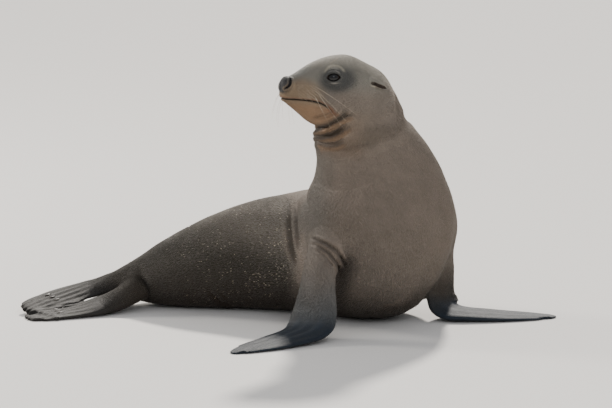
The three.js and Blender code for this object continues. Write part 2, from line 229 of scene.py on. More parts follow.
class Loft:
    """A closed body carried along a line. At each place t the section is |x/width|^power + |y/height|^power = 1,
    with x along side and y along up, and height grows by lean * t * x/width towards the leading edge."""

    def __init__(self, t, at, up, side, normal, height, width, power, lean=0.0, web=None):
        self.power, self.lean, self.web = power, lean, web
        self.normal = normal
        self.along = unit(np.gradient(at, axis=0))
        length = np.concatenate([[0], np.cumsum(np.linalg.norm(np.diff(at, axis=0), axis=1))])
        self.table = np.column_stack([t, length, height, width, at, up, side, self.along])
        self.offset = dot(at, normal)
        self.at = at
        self.low, self.high = (at.min(0) - width.max() - 45, at.max(0) + width.max() + 45)
        self.total = length[-1]

    def set_back(self, p):
        """Flipper tips end in an edge with its corners and the webs between the digits set back: the point is
        moved on along the flipper by as much."""
        if self.web is None:
            return p
        digits, notch, corner, reach = self.web
        end, side, along, width = self.at[-1], self.table[-1, 10:13], self.along[-1], self.table[-1, 3]
        across = np.clip((p - end) @ side / width, -1, 1)
        tip = np.clip(1 + (p - end) @ along / reach, 0, 1)
        web = 0.5 - 0.5 * np.cos(np.pi * digits * (across + 1))
        return p + (tip * (notch * web + corner * across**4))[:, None] * along

    def find(self, p):
        """The section just before each point, of those planes that it lies between the one whose middle is
        nearest, and whether the point is near the body at all."""
        near = np.flatnonzero(((p > self.low) & (p < self.high)).all(1))
        index = np.zeros(len(p), int)
        normal, offset, at = (a.astype(np.float32) for a in (self.normal, self.offset, self.at))
        for start in range(0, len(near), CHUNK):
            some = near[start : start + CHUNK]
            q = self.set_back(p[some]).astype(np.float32)
            ahead = q @ normal.T - offset
            crossing = (ahead[:, :-1] >= 0) & (ahead[:, 1:] < 0)
            reach = (at * at).sum(1) - 2 * q @ at.T
            best = np.where(crossing, reach[:, :-1], 1e9).argmin(1)
            past = np.where(ahead[:, 0] < 0, 0, len(at) - 2)
            index[some] = np.where(crossing.any(1), best, past)
        return index, near

    def read(self, p, index):
        """The table's row for each point, and how far past either end the point is."""
        before, after = self.table[index], self.table[index + 1]
        a = dot(p - before[:, 4:7], self.normal[index])
        b = dot(p - after[:, 4:7], self.normal[index + 1])
        share = a / np.where(np.abs(a - b) < 1e-9, 1e-9, a - b)
        first, last = index == 0, index == len(self.table) - 2
        share = np.clip(share, np.where(first, 0, -0.3), np.where(last, 1, 1.3))
        row = before + (after - before) * share[:, None]
        beyond = np.where(first & (share <= 0), -a, 0) + np.where(last & (share >= 1), b, 0)
        return row, beyond

    def measure(self, p, place):
        """Distance from the surface, below zero inside: (F - 1) / |grad F| in the section's plane."""
        index, near = place
        distance = np.full(len(p), 400.0)
        q = self.set_back(p[near])
        row, beyond = self.read(q, index[near])
        out = q - row[:, 4:7]
        width = np.maximum(row[:, 3], 0.3)
        x = dot(out, row[:, 10:13]) / width
        height = np.maximum(row[:, 2] * (1 + self.lean * row[:, 0] * np.clip(x, -1, 1)), 0.3)
        y = dot(out, row[:, 7:10]) / height
        n = self.power
        x, y = np.abs(x) + 1e-9, np.abs(y) + 1e-9
        size = np.maximum((x**n + y**n) ** (1 / n), 0.02)
        slope = size ** (1 - n) * np.hypot(x ** (n - 1) / width, y ** (n - 1) / height)
        flat = (size - 1) / np.maximum(slope, 0.5 / np.maximum(width, height))
        distance[near] = np.where(beyond > 0, np.hypot(np.maximum(flat, 0), beyond), flat)
        return distance

    def shell(self, rings, sides, least):
        """The body as a closed grid of rings, at least so thick, to start the skin from."""
        pick = np.linspace(0, len(self.table) - 1, rings).astype(int)
        row = self.table[pick]
        angle = np.linspace(0, 2 * np.pi, sides, endpoint=False)
        cos, sin = (signed_power(f(angle), 2 / self.power) for f in (np.cos, np.sin))
        height, width = np.maximum(row[:, 2], least), np.maximum(row[:, 3], least)
        ring = row[:, None, 4:7] + height[:, None, None] * sin[:, None] * row[:, None, 7:10]
        ring = ring + width[:, None, None] * cos[:, None] * row[:, None, 10:13]
        points = ring.reshape(-1, 3)
        points = 2 * points - self.set_back(points)
        ends = row[[0, -1], 4:7] + row[[0, -1], 13:16] * np.array([[-least], [least]]) * 0.5
        return closed_grid(points, rings, sides, ends)


def closed_grid(points, rings, sides, ends):
    """Triangles of rings that each close on themselves, with a point at either end."""
    ring, side = np.meshgrid(np.arange(rings - 1), np.arange(sides), indexing="ij")
    a = (ring * sides + side).ravel()
    b = (ring * sides + (side + 1) % sides).ravel()
    c, d = a + sides, b + sides
    turn = np.arange(sides)
    first, last = rings * sides, rings * sides + 1
    fans = [
        np.column_stack([(turn + 1) % sides, turn, np.full(sides, first)]),
        np.column_stack([turn, (turn + 1) % sides, np.full(sides, last)]) + [[(rings - 1) * sides] * 2 + [0]],
    ]
    faces = np.vstack([np.column_stack([a, b, d]), np.column_stack([a, d, c]), *fans])
    return np.vstack([points, ends]), faces


def body_loft(ribs, count, power, caps):
    """Ribs of back point, belly point and half-breadth. The middle line is halfway between back and belly, up
    runs from belly to back, and side is square to up and to the line between the ribs on either side."""
    back, belly, half = (np.array([rib[i] for rib in ribs], float) for i in range(3))
    t = np.linspace(0, 1, count)
    middle = 0.5 * (spline(back, t) + spline(belly, t))
    upward = 0.5 * (spline(back, t) - spline(belly, t))
    up = unit(upward)
    side = spline(unit(np.cross(np.gradient(back + belly, axis=0), back - belly)), t)
    side = unit(side - dot(side, up)[:, None] * up)
    end = rounded(t, caps[0]) * rounded(1 - t, caps[1])
    height = np.linalg.norm(upward, axis=1) * end
    return Loft(t, middle, up, side, np.cross(up, side), height, spline(half, t)[:, 0] * end, power)


def flipper_loft(ribs, count, end_cap, web=None):
    """Ribs of middle point, leading direction, half-width and half-thickness. Sections are square to the line."""
    at, lead, width, thick = (np.array([rib[i] for rib in ribs], float) for i in range(4))
    t = np.linspace(0, 1, count)
    middle = spline(at, t)
    along = unit(np.gradient(middle, axis=0))
    side = spline(lead, t)
    side = unit(side - dot(side, along)[:, None] * along)
    start, end = rounded(t, 0.05), rounded(1 - t, end_cap)
    height = spline(thick, t)[:, 0] * start * end
    wide = spline(width, t)[:, 0] * start * (1 if web else end)
    return Loft(t, middle, np.cross(along, side), side, along, height, wide, 2.0, 0.3, web)


def head_ribs():
    return [(head_point((f, top, 0)), head_point((f, low, 0)), half) for f, top, low, half in HEAD_RIBS]


HIND_WEB = (5, 8, 16, 62)
LOFTS = {
    "torso": body_loft(TORSO_RIBS, 180, 2.15, (0.03, 0.04)),
    "head": body_loft(head_ribs(), 120, 2.2, (0.08, 0.06)),
    "fore_right": flipper_loft(FORE_RIGHT_RIBS, 110, 0.06),
    "fore_left": flipper_loft(FORE_LEFT_RIBS, 110, 0.06),
    "hind_right": flipper_loft(HIND_RIGHT_RIBS, 90, 0.06, HIND_WEB),
    "hind_left": flipper_loft(HIND_LEFT_RIBS, 90, 0.06, HIND_WEB),
}
EAR = flipper_loft(EAR_RIBS, 40, 0.2)

# ---- folds, lids, lips and nostrils -------------------------------------------------------------------------

# Creases of the coat, as lines seen from the side, where the second number is height over ground leaning back
# by LEAN: points, depth, half-width, and how far round the body (in y) they run.
LEAN = math.radians(10)
# the middle of the painted shade between the near arm and the chest, as x and height leaning back
ARM_GAP_SHADE_PATH = [(-80, 126), (-88, 98), (-94, 56), (-98, 5)]
THROAT_CREASES = [
    ([(-160, 424), (-137, 427), (-120, 432), (-109, 437)], 1.6, 3.4),
    ([(-180, 402), (-154, 404), (-137, 406), (-120, 411), (-102, 421), (-85, 432), (-74, 437)], 4.6, 4.6),
    ([(-175, 394), (-147, 392), (-130, 389), (-113, 392), (-95, 402), (-76, 415)], 4.6, 4.6),
    ([(-165, 385), (-142, 380), (-123, 374), (-106, 374), (-85, 382)], 3.0, 4.2),
    ([(-150, 384), (-144, 367), (-139, 350)], 1.4, 3.6),
]
ARMPIT_CREASES = [
    ([(-156, 178), (-140, 172), (-124, 166), (-103, 152), (-89, 131), (-80, 110)], 3.2, 3.2),
    ([(-150, 166), (-134, 157), (-120, 148), (-103, 127), (-91, 100)], 3.0, 3.0),
    ([(-144, 154), (-124, 138), (-110, 117)], 1.8, 2.8),
]
FLANK_CREASES = [
    ([(-200, 262), (-197, 204), (-192, 160), (-182, 118)], 3.0, 5.0),
    ([(-183, 258), (-182, 200), (-178, 150)], 2.4, 3.8),
    ([(-373, 63), (-347, 42), (-306, 25), (-274, 20)], 2.6, 5.0),
    ([(-354, 62), (-326, 43), (-290, 30)], 2.2, 4.6),
    ([(-523, 128), (-516, 84), (-525, 40)], 2.6, 10.0),
]
MOUTH_LINE = ((92, 98, 107, 119, 135, 152, 168, 182), (-47.5, -42.5, -36, -31, -28.5, -28, -28.5, -30))

EYE = np.array([93.0, 22.0, 37.5])
EYE_RADIUS = 17.0
EYE_OUT = unit(np.array([0.42, 0.10, 0.90]))
EYE_LINE = np.array([0.90, -0.14, -0.42])
EYE_LINE = unit(EYE_LINE - (EYE_LINE @ EYE_OUT) * EYE_OUT)
EYE_RISE = np.cross(EYE_OUT, EYE_LINE)
EYE_RISE = EYE_RISE * np.sign(EYE_RISE[1])
LID_HALF, LID_TOP, LID_LOW = 14.5, 8.2, 7.4

NOSE_PAD, NOSE_SIZE = np.array([177.0, -5.5, 0.0]), np.array([16.0, 21.0, 21.5])
NOSTRIL_PATH = [(187, -9, 12), (185, -6, 16), (182.5, -2, 18.6), (181, 3, 19.2), (180, 8, 17), (178, 12, 12.6)]
EAR_HOLE = [(15, 19, 67.5), (13, 18.5, 70.5), (1.5, 14, 77.5), (-8, 10.5, 79.5)]
FACE_MIDDLE, FACE_REACH = np.array([80.0, -20.0, 0.0]), 175.0


def leaning(p):
    """A point seen from the side: x, and height leaning back, z cos + y sin."""
    return np.column_stack([p[:, 0], p[:, 2] * math.cos(LEAN) + p[:, 1] * math.sin(LEAN)])


def creases(p, lines):
    """How deep the creases go at each point, and the painted shade it gets from being close to one: depth
    exp(-(away / width)^2), fading at the lines' ends, with a low roll of fur pushed up beside each."""
    flat = leaning(p)
    depth, dark = np.zeros(len(p)), np.zeros(len(p))
    for path, deep, width in lines:
        low, high = np.min(path, axis=0) - 5.5 * width, np.max(path, axis=0) + 5.5 * width
        near = np.flatnonzero(((flat > low) & (flat < high)).all(1))
        away, place = path_distance(flat[near], path)
        fade = np.sqrt(np.clip(ease(0, 0.3, place) * ease(0, 0.25, 1 - place), 0, 1))
        depth[near] += deep * fade * (hill(away, width) - 0.42 * hill(away - 2.1 * width, 1.1 * width))
        dark[near] = np.maximum(dark[near], fade * hill(away, 1.4 * width) * min(1, deep / 4))
    return depth, dark


def body_creases(p):
    """All creases of the neck, armpits and flanks: depth and painted shade."""
    throat, dark = creases(p, THROAT_CREASES)
    pit, pit_shade = creases(p, ARMPIT_CREASES)
    flank, flank_shade = creases(p, FLANK_CREASES)
    front = 1 - ease(30, 80, p[:, 1])
    around = 1 - ease(15, 60, p[:, 1])
    neck = 1 - ease(-10, 30, p[:, 1])
    throat = throat * (0.3 + 0.7 * ease(-158, -132, p[:, 0]))
    side = 1 - ease(120, 165, p[:, 1])
    depth = throat * neck + pit * front + flank * side
    return depth, np.maximum.reduce([dark * neck, 0.7 * pit_shade * around, 0.4 * flank_shade * side])


def eye_place(m):
    """A point in the head seen from the eye: along the lids' line, up across them, out, and its distance."""
    out = m - EYE
    return out @ EYE_LINE, out @ EYE_RISE, out @ EYE_OUT, np.linalg.norm(out, axis=1)


def lid_opening(along, rise):
    """The almond between the lids, below zero inside: the greater distance from two circles through both
    corners, one over the top of it and one under it."""
    distances = []
    for half, sign in ((LID_TOP, 1), (LID_LOW, -1)):
        radius = (LID_HALF**2 + half**2) / (2 * half)
        distances.append(np.hypot(along, rise + sign * (radius - half)) - radius)
    return np.maximum(*distances)


def mouth_height(m):
    """How far above the lips' line a place in the head is."""
    return m[:, 1] - np.interp(m[:, 0], *MOUTH_LINE)


def ellipsoid_distance(m, centre, radii):
    """About how far a place is outside an ellipsoid: |v| (|v| - 1) / |v / r| with v measured in radii."""
    v = (m - centre) / radii
    size = np.linalg.norm(v, axis=1)
    return size * (size - 1) / np.maximum(np.linalg.norm(v / radii, axis=1), 1e-6)


def face(body, m):
    """The head's small forms, added to or taken from the body's distance m places away."""
    hole, place = path_distance(m, EAR_HOLE)
    body = carve(body, hole - 3.9 * (1 - 0.45 * place), 1.2)

    along, rise, out, far = eye_place(m)
    lids = np.linalg.norm(m - EYE - 0.6 * EYE_OUT, axis=1) - (EYE_RADIUS + 2.2)
    body = join(body, lids, 8.0)
    ring = np.hypot(along / 19.5, (rise - 0.5) / 14.5)
    facing = ease(4, 10, out)
    body += facing * (1.1 * hill(ring - 1, 0.09) - 0.5 * hill(ring - 0.8, 0.08)) * ease(-2, 5, np.abs(rise))
    body += facing * 0.7 * hill(ring - 1.28, 0.09) * ease(2, 8, -rise)
    opening = np.maximum.reduce([lid_opening(along, rise), EYE_RADIUS - 1.4 - far, 4 - out])
    body = carve(body, opening, 1.0)

    body = join(body, ellipsoid_distance(m, NOSE_PAD, NOSE_SIZE), 4.0)
    nostril, place = path_distance(m, NOSTRIL_PATH)
    body -= 0.8 * hill(nostril - 4.8, 1.6) * ease(168, 174, m[:, 0])
    body = carve(body, nostril - 2.6 * (1 - 0.5 * np.abs(2 * place - 1) ** 2), 0.8)
    body += 1.4 * hill(m[:, 2], 1.5) * ease(172, 182, m[:, 0]) * ease(6, -4, m[:, 1])

    pad = ((m - np.array([150, -14, 30])) / np.array([26, 13, 15])) ** 2
    body -= 2.8 * np.exp(-pad.sum(1))
    s = mouth_height(m)
    lips = ease(88, 97, m[:, 0]) * (m[:, 1] < 0)
    body += lips * (4.0 * hill(s, 1.5) - 1.5 * hill(s - 4.5, 3.0) - 1.0 * hill(s + 4, 2.6))
    corner = path_distance(m[:, :2], [(94, -47.5), (86, -52), (80, -45)])[0]
    return body + 1.2 * hill(corner, 3.0)


def flipper_forms(p, places):
    """How far the digits stand up from a flipper's blade, and how bare its skin is, for each flipper."""
    ridge, bare = np.zeros(len(p)), np.zeros(len(p))
    for name, digits, height, start in (
        ("fore_right", 4, 2.4, 0.5),
        ("fore_left", 4, 2.4, 0.5),
        ("hind_right", 5, 3.4, 0.42),
        ("hind_left", 5, 3.4, 0.42),
    ):
        index, near = places[name]
        row, _ = LOFTS[name].read(p[near], index[near])
        out = p[near] - row[:, 4:7]
        across = np.clip(dot(out, row[:, 10:13]) / np.maximum(row[:, 3], 1), -1, 1)
        distance = np.abs(dot(out, row[:, 7:10])) - row[:, 2]
        close = 1 - ease(6, 22, distance)
        place = row[:, 0]
        waves = 0.5 * np.cos(np.pi * digits * (across + 1))
        shape = waves * ease(start - 0.05, start + 0.15, place) * ease(1.0, 0.9, place) ** 0.5
        share = row[:, 2] / (row[:, 2] + 3)
        ridge[near] += height * shape * close * share * (1 - np.abs(across) ** 6)
        bare[near] = np.maximum(bare[near], close * ease(start - 0.1, start + 0.04, place))
    return ridge, bare


def ripple(p):
    """Slow unevenness of the flesh: a sum of sines in different directions."""
    x, y, z = p.T
    waves = np.sin(x / 31 + 2 * np.sin(z / 57)) * np.sin(y / 27 + 1.3) + 0.6 * np.sin(z / 19 + x / 44 + y / 38)
    return waves + 0.5 * np.sin(x / 13 + 0.7 * y / 11 + 0.5) * np.sin(z / 14)


def find_places(p):
    """Each point's section in every loft, and its mirrored place in the head."""
    places = {name: loft.find(p) for name, loft in LOFTS.items()}
    q = head_place(p)
    places["ear"] = EAR.find(np.column_stack([q[:, :2], np.abs(q[:, 2])]))
    return places


FUR_DEPTH, FACE_FUR_DEPTH, BARE_DEPTH = 2.6, 1.3, 0.2


def skin(p, places, details=True):
    """Distance from the skin, below zero inside: all lofts joined smoothly, less the coat's depth, with the face,
    folds and digits, and flattened where it lies on the floor."""
    d = {name: loft.measure(p, places[name]) for name, loft in LOFTS.items()}
    z = p[:, 2]
    body = join(d["torso"], d["head"], 26 + 14 * ease(-120, -50, p[:, 0]))
    body = join(body, d["fore_right"], 12 + 44 * ease(150, 250, z))
    body = join(body, d["fore_left"], 14 + 46 * ease(90, 220, z))
    for name in ("hind_right", "hind_left"):
        body = join(body, d[name], 14)
    ridge, bare = flipper_forms(p, places)
    q = head_place(p)
    m = np.column_stack([q[:, :2], np.abs(q[:, 2])])
    depth = FUR_DEPTH + (FACE_FUR_DEPTH - FUR_DEPTH) * ease(-20, 60, m[:, 0]) * (d["head"] < 40)
    body = body + depth + (BARE_DEPTH - depth) * bare
    body = join(body, EAR.measure(m, places["ear"]), 3.0)
    if details:
        body = body - ridge - 0.55 * ripple(p) * (1 - bare)
        body = body + body_creases(p)[0]
        near = np.flatnonzero(np.linalg.norm(m - FACE_MIDDLE, axis=1) < FACE_REACH)
        body[near] = face(body[near], m[near])
    level = 0.9 - 0.6 * bare
    return carve(body, z - level, 2.0)


def settle(p, steps, details=True, longest=5.0):
    """Newton's steps onto the skin: p - d grad d / |grad d|^2, with the slope from small differences. Gives the
    points and the unit normals."""

    def settled(part):
        for turn in range(steps):
            if turn % 3 == 0:
                places = find_places(part)
            here = skin(part, places, details)
            slope = np.column_stack([skin(part + e, places, details) - here for e in 0.05 * np.eye(3)]) / 0.05
            step = slope * (here / np.maximum(dot(slope, slope), 0.3))[:, None]
            size = np.linalg.norm(step, axis=1)
            part = part - step * np.minimum(1, longest / np.maximum(size, 1e-9))[:, None]
        return part, unit(slope)

    with ThreadPoolExecutor() as pool:
        done = list(pool.map(settled, np.array_split(p, math.ceil(len(p) / 8000))))
    return tuple(np.vstack(arrays) for arrays in zip(*done))


# ---- the skin's mesh ----------------------------------------------------------------------------------------


def edges_of(faces, count):
    """The two ends of every edge once, and for each triangle the numbers of its edges ab, bc and ca."""
    ends = np.sort(np.stack([faces, np.roll(faces, -1, axis=1)], axis=2).reshape(-1, 2), axis=1)
    keys, inverse = np.unique(ends[:, 0] * count + ends[:, 1], return_inverse=True)
    return np.column_stack([keys // count, keys % count]), inverse.reshape(-1, 3)


def refine(points, faces, normals, sharp, least):
    """Triangles split where an edge is longer than wanted there, or its ends' normals differ by more than sharp:
    a point goes in the middle of each such edge, and each triangle becomes two, three or four."""
    edges, of_face = edges_of(faces, len(points))
    a, b = points[edges[:, 0]], points[edges[:, 1]]
    length = np.linalg.norm(b - a, axis=1)
    bent = dot(normals[edges[:, 0]], normals[edges[:, 1]]) < math.cos(math.radians(sharp))
    marked = (length > wanted_size((a + b) / 2)) | (bent & (length > least))
    number = np.where(marked, len(points) + np.cumsum(marked) - 1, -1)
    middle = number[of_face]
    points = np.vstack([points, (a + b)[marked] / 2])
    count = (middle >= 0).sum(1)
    first_marked = np.where(count == 1, (middle >= 0).argmax(1), ((middle < 0).argmax(1) + 1) % 3)
    turn = (np.arange(3) + np.where((count == 1) | (count == 2), first_marked, 0)[:, None]) % 3
    corners = np.take_along_axis(faces, turn, 1)
    middle = np.take_along_axis(middle, turn, 1)
    (a, b, c), (ab, bc, ca) = corners.T, middle.T

    def rows(chosen, *triangles):
        return [np.column_stack(t)[chosen] for t in triangles]

    one, two, three = (count == n for n in (1, 2, 3))
    first = np.linalg.norm(points[a] - points[bc], axis=1) < np.linalg.norm(points[ab] - points[c], axis=1)
    new = rows(count == 0, (a, b, c))
    new += rows(one, (a, ab, c), (ab, b, c))
    new += rows(two, (ab, b, bc))
    new += rows(two & first, (a, ab, bc), (a, bc, c))
    new += rows(two & ~first, (a, ab, c), (ab, bc, c))
    new += rows(three, (a, ab, ca), (ab, b, bc), (ca, bc, c), (ab, bc, ca))
    return points, np.vstack(new)


def relax(points, faces, normals, share, times):
    """Points moved a share of the way to their neighbours' mean, along the surface only."""
    edges, _ = edges_of(faces, len(points))
    a, b = edges.T
    count = np.bincount(a, minlength=len(points)) + np.bincount(b, minlength=len(points))
    for _ in range(times):
        total = np.zeros_like(points)
        for axis in range(3):
            total[:, axis] += np.bincount(a, points[b, axis], len(points))
            total[:, axis] += np.bincount(b, points[a, axis], len(points))
        move = total / count[:, None] - points
        points = points + share * (move - dot(move, normals)[:, None] * normals)
    return points


def wanted_size(p):
    """The longest edge wanted at each point, smallest round the eyes, nostrils, lips and folds."""
    q = head_place(p)
    m = np.column_stack([q[:, :2], np.abs(q[:, 2])])
    size = np.full(len(p), 11.6)
    along, rise, _, far = eye_place(m)
    from_eye = np.hypot(along, 1.35 * rise) + np.maximum(far - 24, 0)
    for distance, near, small, fade in (
        (np.linalg.norm(m - (20, -20, 0), axis=1), 108, 5.2, 80),
        (np.linalg.norm(m - (135, -15, 0), axis=1), 68, 3.0, 36),
        (from_eye, 17, 1.25, 14),
        (path_distance(m, NOSTRIL_PATH)[0], 6, 1.1, 8),
        (np.where(m[:, 0] > 88, np.abs(mouth_height(m)), 99) + np.maximum(m[:, 1], 0), 3, 1.5, 8),
        (path_distance(m, EAR_HOLE)[0], 12, 2.0, 12),
    ):
        size = np.minimum(size, small + (11.6 - small) * np.clip((distance - near) / fade, 0, 1))
    dark = body_creases(p)[1]
    return np.minimum(size, 11.6 - 6.6 * ease(0.06, 0.4, dark))


def rough_skin():
    """All lofts' shells as one closed mesh of small squares, from a voxel remesh."""
    shells = [LOFTS["torso"].shell(130, 48, 4), LOFTS["head"].shell(60, 48, 4)]
    shells += [LOFTS[name].shell(80, 36, 4.6) for name in ("fore_right", "fore_left", "hind_right", "hind_left")]
    ear, ear_faces = EAR.shell(24, 16, 4.2)
    shells += [(head_point(ear * (1, 1, side)), ear_faces[:, ::side]) for side in (1, -1)]
    offsets = np.cumsum([0] + [len(points) for points, _ in shells])
    points = np.vstack([points for points, _ in shells])
    faces = np.vstack([faces + start for (_, faces), start in zip(shells, offsets)])
    rough = build("rough", points * MM, faces)
    remesh = rough.modifiers.new("remesh", "REMESH")
    remesh.mode = "VOXEL"
    remesh.voxel_size = 5.0 * MM
    whole = rough.evaluated_get(bpy.context.evaluated_depsgraph_get()).to_mesh()
    whole.calc_loop_triangles()
    corners = np.empty(3 * len(whole.vertices), np.float32)
    whole.vertices.foreach_get("co", corners)
    triangles = np.empty(3 * len(whole.loop_triangles), np.int32)
    whole.loop_triangles.foreach_get("vertices", triangles)
    bpy.data.objects.remove(rough)
    return corners.reshape(-1, 3).astype(float) / MM, triangles.reshape(-1, 3).astype(np.int64)


def build(name, points, faces, material=None, smooth=True):
    """A mesh object from arrays of points, in metres, and of faces that all have as many corners."""
    mesh = bpy.data.meshes.new(name)
    mesh.vertices.add(len(points))
    mesh.vertices.foreach_set("co", np.ascontiguousarray(points, np.float32).ravel())
    corners = faces.shape[1]
    mesh.loops.add(faces.size)
    mesh.loops.foreach_set("vertex_index", faces.astype(np.int32).ravel())
    mesh.polygons.add(len(faces))
    mesh.polygons.foreach_set("loop_start", np.arange(0, faces.size, corners, dtype=np.int32))
    mesh.polygons.foreach_set("use_smooth", np.full(len(faces), smooth))
    mesh.update(calc_edges=True)
    if material:
        mesh.materials.append(material)
    piece = bpy.data.objects.new(name, mesh)
    bpy.context.scene.collection.objects.link(piece)
    return piece


def attribute(piece, name, kind, values):
    """A number, or a colour with its alpha at 1, kept at every point of a piece."""
    made = piece.data.attributes.new(name, kind, "POINT")
    if kind == "FLOAT_COLOR":
        made.data.foreach_set("color", np.column_stack([values, np.ones(len(values))]).astype(np.float32).ravel())
    else:
        made.data.foreach_set("value", values.astype(np.float32))


def outward(points, faces):
    """The faces, turned over if the closed shape's volume comes out below zero."""
    a, b, c = (points[faces[:, i]] for i in range(3))
    volume = dot(a, np.cross(b, c)).sum()
    if faces.shape[1] == 4:
        volume += dot(a, np.cross(c, points[faces[:, 3]])).sum()
    return faces if volume > 0 else faces[:, ::-1]


# ---- colour, with painted light and shade -------------------------------------------------------------------


def shade(red, green, blue):
    """A colour given as on a paint card, 0 to 255, as light: ((c + 0.055) / 1.055)^2.4."""
    c = np.array([red, green, blue]) / 255
    return np.where(c < 0.04045, c / 12.92, ((c + 0.055) / 1.055) ** 2.4)


CLOUD = np.random.default_rng(11).uniform(-1, 1, (64, 64, 64))


def cloud(p, size, shift=0.0):
    """Smooth random values from -1 to 1: random numbers at the corners of cubes, eased between them."""
    q = p / size + 31.7 + shift
    cell = np.floor(q).astype(int)
    u = q - cell
    u = u * u * (3 - 2 * u)
    total = np.zeros(len(p))
    for i in range(8):
        corner = np.array([i & 1, (i >> 1) & 1, i >> 2])
        weight = np.prod(np.where(corner, u, 1 - u), axis=1)
        x, y, z = ((cell + corner) & 63).T
        total += weight * CLOUD[x, y, z]
    return total


def over(colour, paint, mask):
    """paint laid over colour where mask is 1."""
    return colour + (paint - colour) * np.clip(mask, 0, 1)[:, None]


# the last of these is painted shade, darkening the body towards the floor
CHEST, NECK_BACK, FLANK, UNDERSIDE_SHADE = shade(124, 113, 102), shade(116, 108, 98), shade(48, 43, 34), shade(42, 32, 22)
SHOULDER, ARM, BLADE, HIND = shade(98, 95, 89), shade(90, 91, 90), shade(32, 39, 47), shade(22, 26, 30)
CROWN, CHEEK, MUZZLE, JAW = shade(134, 130, 120), shade(121, 110, 98), shade(142, 122, 98), shade(142, 114, 88)
# the eye's dark ring here is partly its own darker fur and partly painted shade in the socket
EYE_RING_AND_SHADE, BRIDGE, NOSE, LIP = shade(58, 60, 60), shade(100, 101, 97), shade(40, 40, 42), shade(128, 94, 76)
ARM_IN_SHADE = shade(60, 56, 50)
# the creases' painted shade, then a pale tan that also stands for painted light on the rolls between creases
FOLD_SHADE, FOLD_TAN_AND_LIGHT, SAND = shade(44, 36, 27), shade(148, 120, 94), shade(214, 200, 178)


